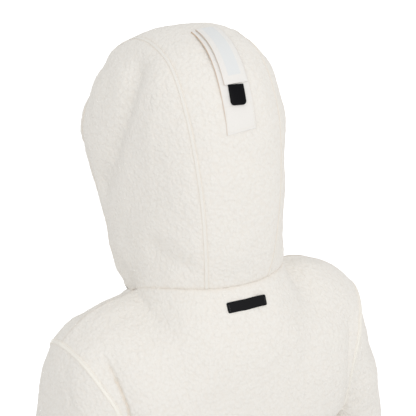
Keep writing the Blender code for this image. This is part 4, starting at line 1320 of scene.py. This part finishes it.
def knit_material(settings):
    """Smooth knitted back of the fleece, in fine ribs of small loops."""
    material, tree, shader, place = new_material("fleece_knit_back")
    ribs = add_node(tree, "ShaderNodeTexWave",
                    {"Scale": 160.0, "Distortion": 2.5, "Detail": 2.0, "Vector": place},
                    wave_type="BANDS", bands_direction="Z")
    loops = scaled_noise(tree, place, scale=750.0)
    height = math_node(tree, "MULTIPLY_ADD", loops, 0.6, ribs.outputs["Fac"])
    broad = scaled_noise(tree, place, scale=30.0, detail=3.0)
    shade = tinted(tree, broad, 0.25, settings.knit_colour, DARK_KNIT)
    finish_look(tree, shader, "knit", shade, height)
    return material


def thread_material(name, colour):
    """Twisted sewing thread, with painted shade making its hollows a little darker."""
    material, tree, shader, place = new_material(name)
    twist = scaled_noise(tree, place, scale=1600.0)
    broad = scaled_noise(tree, place, scale=60.0)
    dark = tuple(0.84 * value for value in colour)
    # Painted shade darkens the twist's hollows by the fine noise; the broad noise is a random tone
    shade = tinted(tree, broad, 0.2, tinted(tree, twist, 0.5, colour, dark), dark)
    finish_look(tree, shader, "thread", shade, twist)
    return material


def band_material(name, colour, shade_share, settings):
    """Flat seam band with the covering threads that cross it, with painted warm shade along both
    edges.
    """
    material, tree, shader, place = new_material(name, "UV")
    x, y = across_and_along(tree, place)
    slanted = math_node(tree, "MULTIPLY_ADD", x, 0.8, y)
    wave = math_node(tree, "SINE", math_node(tree, "MULTIPLY", slanted, 62.8))
    # Painted warm shade along the band's two edges
    rim = math_node(tree, "MULTIPLY_ADD", math_node(tree, "ABSOLUTE", x), 9.0, -1.5, clamp=True)
    shade = tinted(tree, rim, shade_share, colour, settings.hollow_shade_colour)
    finish_look(tree, shader, "band", shade, wave)
    return material


def twill_material(settings, name, striped, half):
    """Diagonal twill, on the piece's own map in centimetres, with a painted warm shadow along its
    edges, stronger on the left and towards the top.
    """
    material, tree, shader, place = new_material(name, "UV")
    x, y = across_and_along(tree, place)
    diagonal = math_node(tree, "ADD", x, y)
    lines = math_node(tree, "SINE", math_node(tree, "MULTIPLY", diagonal, 90.0))
    yarn = scaled_noise(tree, place, scale=26.0, detail=3.0, roughness=0.6)
    height = math_node(tree, "MULTIPLY_ADD", yarn, 1.2, lines)
    broad = scaled_noise(tree, place, scale=1.3)
    shade = tinted(tree, broad, 0.2, settings.twill_colour, PALE_TWILL)
    shade = tinted(tree, yarn, 0.12, shade, DARK_YARN)
    more = {}
    if striped:
        left = math_node(tree, "MULTIPLY_ADD", x, 5.0, 4.6, clamp=True)
        right = math_node(tree, "MULTIPLY_ADD", x, -5.0, 5.0, clamp=True)
        lower = math_node(tree, "MULTIPLY_ADD", y, 6.0, -6.0, clamp=True)
        stripe = math_node(tree, "MULTIPLY", math_node(tree, "MULTIPLY", left, right), lower)
        shade = mixed_colour(tree, stripe, shade, settings.cool_colour)
        height = math_node(tree, "MULTIPLY", height, math_node(tree, "SUBTRACT", 1.0, stripe))
        more = {"Roughness": 0.55}
    if half:
        # Painted warm shadow along the edges, strongest at the left edge and growing towards the
        # top end
        near, far = (math_node(tree, "MULTIPLY_ADD", x, slope, 1.0 - EDGE_FADE * half, clamp=True)
                     for slope in (-EDGE_FADE, EDGE_FADE))
        upper = math_node(tree, "MULTIPLY_ADD", y, 0.03, 0.35)
        rim = math_node(tree, "MULTIPLY_ADD", far, 0.18, math_node(tree, "MULTIPLY", near, upper))
        shade = mixed_colour(tree, rim, shade, EDGE_SHADOW_COLOUR)
    finish_look(tree, shader, "twill", shade, height, **more)
    return material


def black_material(settings, name, roughness, shine):
    """Moulded black rubber with a fine uneven skin."""
    material, tree, shader, place = new_material(name)
    skin = scaled_noise(tree, place, scale=500.0, detail=3.0, roughness=0.6)
    broad = scaled_noise(tree, place, scale=60.0)
    shade = tinted(tree, broad, 0.5, settings.black_colour, WORN_BLACK)
    more = {"Roughness": roughness, "Specular IOR Level": shine}
    finish_look(tree, shader, "rubber", shade, skin, **more)
    return material


def metal_material():
    """Satin plated metal with fine wear."""
    material, tree, shader, place = new_material("zip_metal")
    wear = scaled_noise(tree, place, scale=350.0, detail=4.0, roughness=0.7)
    shade = mixed_colour(tree, wear, DARK_METAL, BRIGHT_METAL)
    rough = math_node(tree, "MULTIPLY_ADD", wear, 0.2, 0.2)
    finish_look(tree, shader, "metal", shade, wear, Roughness=rough)
    return material


def garment_form():
    """Work out the folded cloth once: every panel's points and normals, in metres."""
    if not FORM:
        halves = coarse_halves()
        grids = fine_panels(halves)
        normals = shared_normals(grids)
        folded = {}
        for name, grid in grids.items():
            heights = fold_heights(grid, halves, FOLDS + SHAPES, FOLD_STEPS)
            folded[name] = grid + normals[name] * heights[..., None]
        FORM["creases"] = {
            name: fold_heights(grid, halves, CREASES, CREASE_STEPS) for name, grid in grids.items()
        }
        FORM["grids"] = folded
        FORM["normals"] = shared_normals(folded)
    return FORM["grids"], FORM["normals"]


def look(name):
    """Give one of the garment's materials, made when it is first asked for."""
    settings = bpy.context.scene.hoodie
    makers = {
        "fleece": lambda: fleece_material(settings),
        "knit": lambda: knit_material(settings),
        "thread": lambda: thread_material("sewing_thread", settings.thread_colour),
        "dark_thread": lambda: thread_material("dark_thread", DARK_THREAD),
        "band": lambda: band_material("seam_band", settings.thread_colour, 0.15, settings),
        "hood_band": lambda: band_material("hood_band", settings.fleece_colour, 0.6, settings),
        "twill": lambda: twill_material(settings, "strap_twill", False, STRAP_HALF_WIDTH),
        "stripe": lambda: twill_material(settings, "striped_tape", True, TAPE_HALF_WIDTH),
        "zip_tape": lambda: twill_material(settings, "zip_tape_twill", False, 0.0),
        "tab": lambda: black_material(settings, "glossy_rubber", 0.28, 0.07),
        "label": lambda: black_material(settings, "satin_rubber", 0.5, 0.13),
        "metal": metal_material,
    }
    if name not in LOOKS:
        LOOKS[name] = makers[name]()
    return LOOKS[name]


def dress_panels(names):
    """Build the named panels of the folded cloth."""
    grids, normals = garment_form()
    settings = bpy.context.scene.hoodie
    for name in names:
        dress_panel(name, grids[name], normals[name], settings, (look("fleece"), look("knit")))


def seam_lines():
    """Give the sewn lines that carry a flat band: points, normals and whether they close."""
    grids, normals = garment_form()
    lines = {}
    for side in ("left", "right"):
        sleeve = "sleeve_" + side
        lines["armhole_" + side] = (grids[sleeve][0], normals[sleeve][0], True)
    centre, up = grids["hood_centre"], normals["hood_centre"]
    lines["hood_seam_left"] = (centre[:, 0], up[:, 0], False)
    lines["hood_seam_right"] = (centre[:, -1], up[:, -1], False)
    return lines


def edge_line(name, edge, distance):
    """Give the points and normals of a line that runs a distance in from a panel's edge."""
    grids, normals = garment_form()
    grid, normal = grids[name], normals[name]
    far = edge_distances(grid, is_tube(name))[edge]
    if edge in ("bottom", "top"):
        grid, normal, far = (item.swapaxes(0, 1) for item in (grid, normal, far))
    points = []
    ups = []
    for line, up, away in zip(grid, normal, far):
        order = np.argsort(away)
        place = np.interp(distance, away[order], np.arange(len(away))[order])
        low = min(int(place), len(line) - 2)
        part = place - low
        points.append(line[low] * (1.0 - part) + line[low + 1] * part)
        ups.append(up[low] * (1.0 - part) + up[low + 1] * part)
    return np.array(points), np.array(ups)


def sew_bands():
    """Sew the flat bands over the armhole and hood seams, with two rows of stitches each."""
    settings = bpy.context.scene.hoodie
    pieces = {}
    for name, (points, normals, closed) in seam_lines().items():
        places, _ = resampled(points, BAND_PITCH, closed)
        if closed:
            places = places[:-1]
        line = read_rows(points, places, closed)
        up = unit(read_rows(normals, places, closed))
        hood = name.startswith("hood")
        share = HOOD_BAND_SHARE if hood else 1.0
        profile = np.array(BAND_PROFILE) * (share * MM, MM)
        mesh = turned_outward(sweep("band_" + name, line, up, profile, closed))
        band = add_piece("band_" + name, mesh, look("hood_band" if hood else "band"))
        rows = [stitch_row("row", points, normals, side * share * BAND_STITCH, BAND_STITCH_HEIGHT,
                           settings, closed, side * BAND_STITCH_SLANT) for side in (-1.0, 1.0)]
        stitches = turned_outward(joined_mesh("stitches_" + name, rows))
        threads = add_piece("stitches_" + name, stitches, look("thread"))
        pieces[name] = [band, threads]
    return pieces


def sew_edges():
    """Sew the rows of stitches along the turned edges and beside the zip."""
    settings = bpy.context.scene.hoodie
    pieces = {}
    for name, edges in PANEL_EDGES.items():
        rows = []
        for edge, kind in edges.items():
            if kind in SEAM_LOOKS:
                continue
            points, normals = edge_line(name, edge, STITCH_LINES[kind])
            rows.append(stitch_row("row", points, normals, 0.0, EDGE_STITCH_HEIGHT, settings,
                                   is_tube(name)))
        if rows:
            mesh = turned_outward(joined_mesh("edge_stitches_" + name, rows))
            pieces[name] = add_piece("edge_stitches_" + name, mesh, look("thread"))
    return pieces


def declare_panels(bands, edges):
    """Gather the bands and stitches that are sewn on each panel with a flat cut."""
    owners = {
        "sleeve_left": bands["armhole_left"],
        "sleeve_right": bands["armhole_right"],
        "hood_centre": bands["hood_seam_left"] + bands["hood_seam_right"],
    }
    for name, (flat, area) in PANEL_CUTS.items():
        sewn = list(owners.get(name, ()))
        if name in edges:
            sewn.append(edges[name])


def read_panel(name, rows, columns):
    """Read a panel's points and normals at every pair of part row and column numbers."""
    grids, normals = garment_form()
    points = np.array([[grid_point(grids[name], i, j) for j in columns] for i in rows])
    up = np.array([[grid_point(normals[name], i, j) for j in columns] for i in rows])
    return points, unit(up)


def slab(name, points, up, lift, thickness, material, node):
    """Build a flat piece that follows a panel, its lift given for every point."""
    bottom = points + up * lift[..., None]
    outer = bottom + up * thickness
    mesh = closed_wall(name, outer, bottom[::2, ::2], False)
    across = np.linalg.norm(np.diff(points, axis=1), axis=2).mean() * MAP_SCALE
    along = np.linalg.norm(np.diff(points, axis=0), axis=2).mean(axis=1)
    run = np.concatenate([[0.0], np.cumsum(along)]) * MAP_SCALE
    count = points.shape[1]
    place = (np.arange(count) - (count - 1) / 2.0) * across
    flat = np.stack(np.meshgrid(run, place, indexing="ij")[::-1], axis=-1)
    rim = rim_loops(points.shape[0], count, False)[0]
    table = np.concatenate([flat.reshape(-1, 2), flat[::2, ::2].reshape(-1, 2),
                            flat.reshape(-1, 2)[rim]])
    write_map(mesh, table)
    return add_piece(name, turned_outward(mesh), material, (node,))


def hood_rows():
    """Give how many rows of faces the hood's centre part has."""
    return garment_form()[0]["hood_centre"].shape[0] - 1


def strap_columns(half):
    """Give the hood centre's part column numbers across a piece of the strap."""
    reach = half * HOOD_COLUMN_STEPS
    return np.linspace(HOOD_MIDDLE - reach, HOOD_MIDDLE + reach, STRAP_COLUMNS)


def leaning(row, column):
    """Shift a place on the hood's centre part so that the strap leans and its end is slanted."""
    count = hood_rows()
    aside = STRAP_LEAN * (row - 0.5 * (STRAP_END + STRAP_TOP) * count)
    near_end = 1.0 - min(1.0, max(0.0, row / count - STRAP_END) / STRAP_CUT_REACH)
    return row + STRAP_CUT_SLANT * near_end * (column - HOOD_MIDDLE), column + aside


def strap_lift(share, across, settings):
    """Give how far the strap stands off the hood: sewn down at both ends, loose between."""
    rise = smooth_step(share, *STRAP_LEAVES) * (1.0 - smooth_step(share, *STRAP_LIES_DOWN))
    wave = 1.0 - STRAP_WAVE + STRAP_WAVE * np.sin(share * STRAP_WAVE_TURNS + STRAP_WAVE_START)
    left = 1.0 - STRAP_SIDE_SLOPE * across
    return LAY_GAP + settings.strap_lift * (rise * wave)[:, None] * left[None, :]


def leaning_point(row, column):
    """Read the hood's centre part where a place of the leaning strap lies: point and normal."""
    row, column = leaning(row, column)
    points, up = read_panel("hood_centre", [row], [column])
    return points[0, 0], up[0, 0]


def box_stitches(corners, height, settings):
    """Sew a closed box of stitches on the strap, its corners in part rows and columns."""
    rows = []
    for start, end in zip(corners, corners[1:] + corners[:1]):
        places = np.linspace(start, end, BOX_STEPS)
        points, ups = (np.array(part) for part in zip(*(leaning_point(*pair) for pair in places)))
        rows.append(stitch_row("row", points, ups, 0.0, height, settings))
    return rows


def build_strap():
    """Build the hood's strap: the twill base, the striped tape over it and their stitching."""
    settings = bpy.context.scene.hoodie
    count = hood_rows()
    pieces = []
    for name, end, half, layer, material, slot_name, node in STRAP_LAYERS:
        rows = np.linspace(end * count, STRAP_TOP * count, STRAP_ROWS)
        columns = strap_columns(half) + layer * TAPE_ASIDE
        read = np.array([[leaning_point(row, column) for column in columns] for row in rows])
        points, up = read[:, :, 0], read[:, :, 1]
        share = (rows / count - STRAP_END) / (STRAP_TOP - STRAP_END)
        across = np.linspace(-1.0, 1.0, STRAP_COLUMNS) * half / STRAP_HALF_COLUMN
        lift = strap_lift(share, across, settings) + layer * (TRIM + LAY_GAP)
        if layer:
            own = (rows - rows[0]) / (rows[-1] - rows[0])
            loose = np.clip(-across - TAPE_LOOSE_FROM, 0.0, 1.0) * TAPE_LOOSE_HEIGHT
            lift = lift + np.sin(own * math.pi)[:, None] * loose[None, :]
        pieces.append(slab(name, points, up, lift, TRIM, look(material), node))
    reach = (STRAP_HALF_COLUMN - BOX_INSET) * HOOD_COLUMN_STEPS
    low, high = ((STRAP_END + inset) * count for inset in BOX_ROWS)
    left, right = HOOD_MIDDLE - reach, HOOD_MIDDLE + reach
    corners = [(low, left), (low, right), (high, right), (high, left)]
    sewn = box_stitches(corners, LAY_GAP + TRIM, settings)
    mesh = turned_outward(joined_mesh("strap_stitches", sewn))
    threads = add_piece("strap_stitches", mesh, look("thread"))
    return pieces, threads


def measured(start, end, columns):
    """Measure a part of the hood centre across and along its middle, in metres."""
    points, _ = read_panel("hood_centre", np.linspace(start, end, MEASURE_ROWS), columns)
    length = run_along(points[:, len(columns) // 2])[-1]
    width = run_along(points[MEASURE_ROWS // 2])[-1]
    return width, length


def new_block(name, size):
    """Model a block around the origin and open it for editing, all of it selected."""
    bpy.ops.object.select_all(action="DESELECT")
    bpy.ops.mesh.primitive_cube_add(size=1.0, location=(0.0, 0.0, 0.0))
    block = bpy.context.active_object
    block.name = name
    block.data.name = name
    block.scale = size
    bpy.ops.object.transform_apply(location=False, rotation=False, scale=True)
    open_for_editing(block)
    return block


def bevel(offset, segments, clamp=False):
    """Round the selected edges."""
    bpy.ops.mesh.bevel(offset=offset, segments=segments, affect="EDGES", offset_type="OFFSET",
                       clamp_overlap=clamp)


def rounded_block(name, size, offset, segments):
    """Model a block with rounded edges and give its mesh."""
    block = new_block(name, size)
    bevel(offset, segments)
    bpy.ops.object.mode_set(mode="OBJECT")
    bpy.ops.object.shade_smooth_by_angle(angle=SMOOTH_ANGLE)
    mesh = block.data
    bpy.data.objects.remove(block)
    return mesh


def moulded_plate(name, width, length, thickness, rounded_ends, corner, cuts):
    """Model a flat plate with rounded corners and a softened rim, cut across for bending."""
    plate = new_block(name, (width, length, thickness))
    bpy.ops.mesh.select_mode(type="EDGE")
    upper = thickness / 4.0
    select_edges(plate, lambda a, b: min(a.z, b.z) < -upper and max(a.z, b.z) > upper
                 and any(a.y * end > 0.0 for end in rounded_ends))
    bevel(corner, CORNER_SEGMENTS)
    select_edges(plate, lambda a, b: min(a.z, b.z) > upper)
    bevel(thickness * RIM_SHARE, RIM_SEGMENTS, clamp=True)
    for axis, count, size in ((0, cuts[0], width), (1, cuts[1], length)):
        normal = (1.0, 0.0, 0.0) if axis == 0 else (0.0, 1.0, 0.0)
        for step in range(1, count):
            place = [0.0, 0.0, 0.0]
            place[axis] = (step / count - 0.5) * size
            bpy.ops.mesh.select_all(action="SELECT")
            bpy.ops.mesh.bisect(plane_co=place, plane_no=normal, use_fill=False)
    close_outward()
    bpy.ops.object.shade_smooth_by_angle(angle=SMOOTH_ANGLE)
    return plate


def select_edges(item, wanted):
    """Select the edges of the mesh in editing whose two ends a function wants."""
    bpy.ops.mesh.select_all(action="DESELECT")
    form = bmesh.from_edit_mesh(item.data)
    for edge in form.edges:
        edge.select = wanted(*(vertex.co for vertex in edge.verts))
    form.select_flush_mode()
    bmesh.update_edit_mesh(item.data)


def bend_onto(plate, place_at):
    """Move a plate's points onto the cloth with a function of across, along and height."""
    for vertex in plate.data.vertices:
        vertex.co = place_at(vertex.co.x, vertex.co.y, vertex.co.z)
    plate.data.update()
    return plate


def on_panel(panel, row, column, row_step, column_step, lift, turn=0.0):
    """Make a function that finds a place on a panel, around a middle row and column."""
    def place_at(across, along, height):
        """Give the place over the panel of a point of the plate."""
        i = row + (along - turn * across) / row_step
        j = column + (across + turn * along) / column_step
        points, up = read_panel(panel, [i], [j])
        return Vector(points[0, 0] + up[0, 0] * (lift + height))
    return place_at


def finish_piece(piece, material, node, body=GARMENT):
    """Give a modelled piece its material and body, and hide the model's node it replaces."""
    piece.data.materials.clear()
    piece.data.materials.append(material)
    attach(piece, body)
    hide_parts(node)
    return piece


def build_tab():
    """Model the black tab and lay it at the end of the striped tape."""
    settings = bpy.context.scene.hoodie
    count = hood_rows()
    columns = strap_columns(TAB_HALF_COLUMN)
    low, high = TAB_END * count, (TAPE_END - TAB_OVERLAP) * count
    centre = (low + high) / 2.0
    width, length = measured(low, high, columns)
    plate = moulded_plate("tab", width, length, TAB_THICKNESS, (-1.0,), TAB_CORNER, TAB_CUTS)
    share = (centre / count - STRAP_END) / (STRAP_TOP - STRAP_END)
    lift = strap_lift(np.array([share]), np.array([0.0]), settings)[0, 0] + TRIM + LAY_GAP
    _, middle = leaning(centre, HOOD_MIDDLE)
    column_step = width / (columns[-1] - columns[0])
    lay = on_panel("hood_centre", centre, middle, length / (high - low), column_step,
                   lift + TAB_THICKNESS / 2.0, TAB_TURN)
    bend_onto(plate, lay)
    return finish_piece(plate, look("tab"), "strap_tab")


def build_label():
    """Model the blank black label and lay it on the back, sewn along both its ends."""
    settings = bpy.context.scene.hoodie
    grid = garment_form()[0]["back"]
    middle = (grid.shape[1] - 1) / 2.0
    height = grid[:, int(middle), 2]
    low, high = np.interp([LABEL_BOTTOM_Z, LABEL_TOP_Z], height, np.arange(len(height)))
    points, _ = read_panel("back", np.linspace(low, high, LABEL_ROWS), [middle, middle + 1.0])
    length = run_along(points[:, 0])[-1]
    column_step = run_along(points[LABEL_ROWS // 2])[-1]
    row_step = length / (high - low)
    plate = moulded_plate("label", 2.0 * LABEL_HALF_WIDTH, length, LABEL_THICKNESS, (1.0, -1.0),
                          LABEL_CORNER, LABEL_CUTS)
    lift = LABEL_CLEARANCE + LABEL_THICKNESS / 2.0
    centre = (low + high) / 2.0
    middle += LABEL_SHIFT / column_step
    lay = on_panel("back", centre, middle, row_step, column_step, lift)
    ends = [lay(side * LABEL_HALF_WIDTH, 0.0, 0.0) for side in (-1.0, 1.0)]
    stiff = LABEL_STIFFNESS * (0.5 * (ends[0] + ends[1]) - lay(0.0, 0.0, 0.0))

    def straighter(across, along, height):
        """Lay a point on the cloth and bring it part of the way to a straight bar."""
        share = 1.0 - (across / LABEL_HALF_WIDTH) ** 2
        return lay(across, along, height) + stiff * share

    bend_onto(plate, straighter)
    finish_piece(plate, look("label"), "back_label")
    sewn = []
    rise = LABEL_CLEARANCE + LABEL_THICKNESS
    place = on_panel("back", centre, middle, row_step, column_step, rise)
    for side in (-1.0, 1.0):
        x = side * (LABEL_HALF_WIDTH - LABEL_STITCH_INSET)
        reach = LABEL_STITCH_REACH * length
        line = [place(x, y, 0.0) for y in np.linspace(-reach, reach, LABEL_STITCH_STEPS)]
        _, up = read_panel("back", [centre], [middle + x / column_step])
        ups = np.repeat(up[0], len(line), axis=0)
        sewn.append(stitch_row("row", np.array(line), ups, 0.0, 0.0, settings))
    mesh = turned_outward(joined_mesh("label_stitches", sewn))
    return add_piece("label_stitches", mesh, look("dark_thread"))


def zip_line():
    """Give the zip's line up the front, its outward directions and the cloth's slope beside it."""
    grids, normals = garment_form()
    front = grids["front_left"]
    flat = np.array([0.0, 1.0, 1.0])
    line = front[:, 0] * flat
    out = unit(normals["front_left"][:, 0] * flat)
    reach = front[:, SLOPE_COLUMN] - front[:, 0]
    slope = reach / reach[:, :1]
    return line, out, slope * flat


def zip_tape(side, name):
    """Build one woven tape of the zip with a corded inner edge."""
    line, out, slope = zip_line()
    places, _ = resampled(line, TAPE_PITCH)
    line, out, slope = (read_rows(item, places) for item in (line, out, slope))
    line[-1] = line[-2] + (line[-1] - line[-2]) * TAPE_END_SHARE
    across = np.concatenate([np.linspace(*part) for part in TAPE_ACROSS])
    rise = np.interp(across, *TAPE_CORD)
    rings = []
    for x, height in zip(across, rise):
        bend = slope * max(x - FRONT_EDGE_X * MM, 0.0)
        rings.append(line + bend + out * (height - TAPE_DEPTH) + np.array([side * x, 0.0, 0.0]))
    points = np.array(rings).swapaxes(0, 1)
    if side > 0.0:
        points = points[:, ::-1]
    up = np.repeat(out[:, None], points.shape[1], axis=1)
    if points.shape[0] % 2 == 0:
        points, up = points[:-1], up[:-1]
    lift = np.full(points.shape[:2], -TAPE_THICKNESS)
    node = "zip_tape_" + name
    return slab("tape_" + name, points, up, lift, TAPE_THICKNESS, look("zip_tape"), node)


def zip_teeth():
    """Set the teeth of both sides, meshed below the slider and parted above its place."""
    line, out, _ = zip_line()
    tooth = rounded_block("tooth", TOOTH_SIZE, TOOTH_CUT, 1)
    local = np.array([tuple(vertex.co) for vertex in tooth.vertices])
    faces = [tuple(face.vertices) for face in tooth.polygons]
    places, pitch = resampled(line, TOOTH_PITCH / 2.0)
    base = read_rows(line, places)
    up = read_rows(out, places)
    run = np.arange(len(base)) * pitch
    pieces = []
    for side, name, start in ((1.0, "left", 0), (-1.0, "right", 1)):
        points = []
        shape = []
        for index in range(start + TEETH_LEFT_OUT, len(base) - TEETH_LEFT_OUT, 2):
            ahead = unit(base[index + 1] - base[index - 1])
            outward = unit(up[index])
            across = np.array([side, 0.0, 0.0])
            parted = TEETH_PARTED if run[index] / run[-1] > SLIDER_ROW else 0.0
            centre = base[index] + outward * (TOOTH_RISE - TAPE_DEPTH)
            first = len(points) * len(local)
            points.append(centre + (local[:, :1] + TOOTH_PLACE + parted) * across
                          + local[:, 1:2] * ahead + local[:, 2:3] * outward)
            shape += [tuple(first + vertex for vertex in face) for face in faces]
        mesh = smooth_mesh("teeth_" + name, np.concatenate(points).tolist(), shape)
        pieces.append(add_piece("teeth_" + name, turned_outward(mesh), look("metal")))
    bpy.data.meshes.remove(tooth)
    return pieces


def dress_hardware():
    """Copy the slider, the pull tab and the bottom box and round their edges."""
    for node, (name, offset, body) in HARDWARE.items():
        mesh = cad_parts[node].data.copy()
        mesh.name = name
        piece = linked(name, mesh)
        open_for_editing(piece)
        bpy.ops.mesh.select_mode(type="EDGE")
        bpy.ops.mesh.remove_doubles(threshold=SAME_PLACE)
        bpy.ops.mesh.dissolve_limited(angle_limit=FLAT_ANGLE)
        bpy.ops.mesh.select_all(action="DESELECT")
        bpy.ops.mesh.edges_select_sharp(sharpness=METAL_SMOOTH_ANGLE)
        bevel(offset, RIM_SEGMENTS, clamp=True)
        close_outward()
        bpy.ops.object.shade_smooth_by_angle(angle=METAL_SMOOTH_ANGLE)
        finish_piece(piece, look("metal"), node, body)


def zip_stops():
    """Model one end stop and clamp a copy of it over each tape at the zip's top end."""
    line, out, _ = zip_line()
    shape = rounded_block("stop", STOP_SIZE, STOP_ROUNDING, RIM_SEGMENTS)
    places, _ = resampled(line, MM)
    index = len(places) - STOP_STEPS
    base, up = (read_rows(item, places) for item in (line, out))
    ahead = Vector(base[index + 1] - base[index - 1]).normalized()
    outward = Vector(up[index]).normalized()
    centre = Vector(base[index]) + outward * (STOP_RISE - TAPE_DEPTH)
    for side, name in ((1.0, "stop_left"), (-1.0, "stop_right")):
        mesh = shape.copy()
        mesh.name = name
        for vertex in mesh.vertices:
            x, y, z = vertex.co
            aside = Vector((side * (STOP_PLACE + x), 0.0, 0.0))
            vertex.co = centre + aside + ahead * y + outward * z
        add_piece(name, turned_outward(mesh), look("metal"))
    bpy.data.meshes.remove(shape)


class HOODIE_OT_body(bpy.types.Operator):
    """Build the back and both fronts"""

    bl_idname = "hoodie.body"
    bl_label = "Back and fronts"

    def execute(self, context):
        dress_panels(("back", "front_left", "front_right"))
        return {"FINISHED"}


class HOODIE_OT_sleeves(bpy.types.Operator):
    """Build both sleeves"""

    bl_idname = "hoodie.sleeves"
    bl_label = "Sleeves"

    def execute(self, context):
        dress_panels(("sleeve_left", "sleeve_right"))
        return {"FINISHED"}


class HOODIE_OT_hood(bpy.types.Operator):
    """Build the three panels of the hood"""

    bl_idname = "hoodie.hood"
    bl_label = "Hood"

    def execute(self, context):
        dress_panels(("hood_side_left", "hood_centre", "hood_side_right"))
        return {"FINISHED"}


class HOODIE_OT_seams(bpy.types.Operator):
    """Sew the seam bands and edge stitches"""

    bl_idname = "hoodie.seams"
    bl_label = "Seams and edges"

    def execute(self, context):
        declare_panels(sew_bands(), sew_edges())
        return {"FINISHED"}


class HOODIE_OT_strap(bpy.types.Operator):
    """Build the hood's strap, its striped tape and its black tab"""

    bl_idname = "hoodie.strap"
    bl_label = "Hood strap"

    def execute(self, context):
        layers, threads = build_strap()
        build_tab()
        for layer, cut, sewn in zip(layers, STRAP_CUTS, ([threads], [])):
            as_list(sewn)
        return {"FINISHED"}


class HOODIE_OT_label(bpy.types.Operator):
    """Build the blank label on the back"""

    bl_idname = "hoodie.label"
    bl_label = "Label"

    def execute(self, context):
        build_label()
        return {"FINISHED"}


class HOODIE_OT_zip(bpy.types.Operator):
    """Build the zip's tapes and teeth and finish its slider, pull tab and box"""

    bl_idname = "hoodie.zip"
    bl_label = "Zip"

    def execute(self, context):
        tapes = [zip_tape(1.0, "left"), zip_tape(-1.0, "right")]
        teeth = zip_teeth()
        dress_hardware()
        zip_stops()
        return {"FINISHED"}


def studio_surface():
    """Make the pale matt material of the floor."""
    material, tree, shader, place = new_material("pale_floor")
    grain = scaled_noise(tree, place, scale=3.0)
    shade = tinted(tree, grain, 0.05, STUDIO_GREY, STUDIO_WHITE)
    feed(tree, shader, {"Base Color": shade, "Roughness": 0.9, "Emission Color": WHITE,
                        "Emission Strength": FLOOR_GLOW})
    return material


def add_light(name, kind, energy, direction, location=(0.0, 0.0, 0.0), **values):
    """Add a light that shines from a direction, with its own values set."""
    light = bpy.data.lights.new(name, kind)
    light.energy = energy
    for key, value in values.items():
        setattr(light, key, value)
    item = linked(name, light)
    item.location = location
    item.rotation_euler = direction.to_track_quat("Z", "Y").to_euler()


def view_frame():
    """Give the camera's right, up and backward directions."""
    a = math.radians(CAMERA_AZIMUTH)
    e = math.radians(CAMERA_ELEVATION)
    right = Vector((math.cos(a), math.sin(a), 0.0))
    back = Vector((math.sin(a) * math.cos(e), -math.cos(a) * math.cos(e), math.sin(e)))
    return right, back.cross(right), back


class HOODIE_OT_stage(bpy.types.Operator):
    """Set the camera, the soft light and the pale floor"""

    bl_idname = "hoodie.stage"
    bl_label = "Stage"

    def execute(self, context):
        scene = context.scene
        turned = Matrix(view_frame()).transposed()
        data = bpy.data.cameras.new("camera")
        data.lens = CAMERA_LENS
        data.sensor_width = SENSOR
        data.clip_end = CAMERA_REACH
        camera = linked("camera", data)
        placed = turned.to_4x4()
        placed.translation = Vector(CAMERA_TARGET) + turned.col[2] * CAMERA_DISTANCE
        camera.matrix_world = placed
        scene.camera = camera
        bpy.ops.object.select_all(action="DESELECT")
        bpy.ops.mesh.primitive_plane_add(size=FLOOR_SIZE, location=(0.0, 0.0, FLOOR_Z))
        floor = context.active_object
        floor.name = "floor"
        floor.data.materials.append(studio_surface())
        floor.visible_diffuse = False
        for name, direction, energy, angle in SUNS:
            add_light(name, "SUN", energy, turned @ Vector(direction), angle=math.radians(angle))
        aim = turned @ Vector(SPOT_AIM)
        add_light("hood_light", "SPOT", SPOT_POWER, aim, Vector(SPOT_TARGET) + aim * SPOT_DISTANCE,
                  spot_size=math.radians(SPOT_ANGLE), spot_blend=1.0, shadow_soft_size=SPOT_SIZE,
                  color=SPOT_COLOUR)
        world = bpy.data.worlds.new("studio")
        world.use_nodes = True
        feed(world.node_tree, world.node_tree.nodes["Background"],
             {"Color": WHITE, "Strength": WORLD_LIGHT})
        scene.world = world
        scene.view_settings.view_transform = "Standard"
        scene.view_settings.look = "None"
        return {"FINISHED"}


class HOODIE_PT_panel(bpy.types.Panel):
    """List the garment's steps in the sidebar"""

    bl_idname = "HOODIE_PT_panel"
    bl_label = "Fleece hoodie"
    bl_space_type = "VIEW_3D"
    bl_region_type = "UI"
    bl_category = "Hoodie"

    def draw(self, context):
        layout = self.layout
        settings = context.scene.hoodie
        for name in HoodieSettings.__annotations__:
            layout.prop(settings, name)
        for step in STEPS:
            layout.operator("hoodie." + step)


CLASSES = (
    HoodieSettings, HOODIE_OT_body, HOODIE_OT_sleeves, HOODIE_OT_hood, HOODIE_OT_seams,
    HOODIE_OT_strap, HOODIE_OT_label, HOODIE_OT_zip, HOODIE_OT_stage, HOODIE_PT_panel,
)


def register():
    """Register the add-on's classes and settings."""
    for item in CLASSES:
        bpy.utils.register_class(item)
    bpy.types.Scene.hoodie = bpy.props.PointerProperty(type=HoodieSettings)


def unregister():
    """Remove the add-on's classes and settings."""
    del bpy.types.Scene.hoodie
    for item in reversed(CLASSES):
        bpy.utils.unregister_class(item)


def main():
    """Build the garment step by step."""
    register()
    for step in STEPS:
        getattr(bpy.ops.hoodie, step)()


if __name__ == "__main__":
    main()
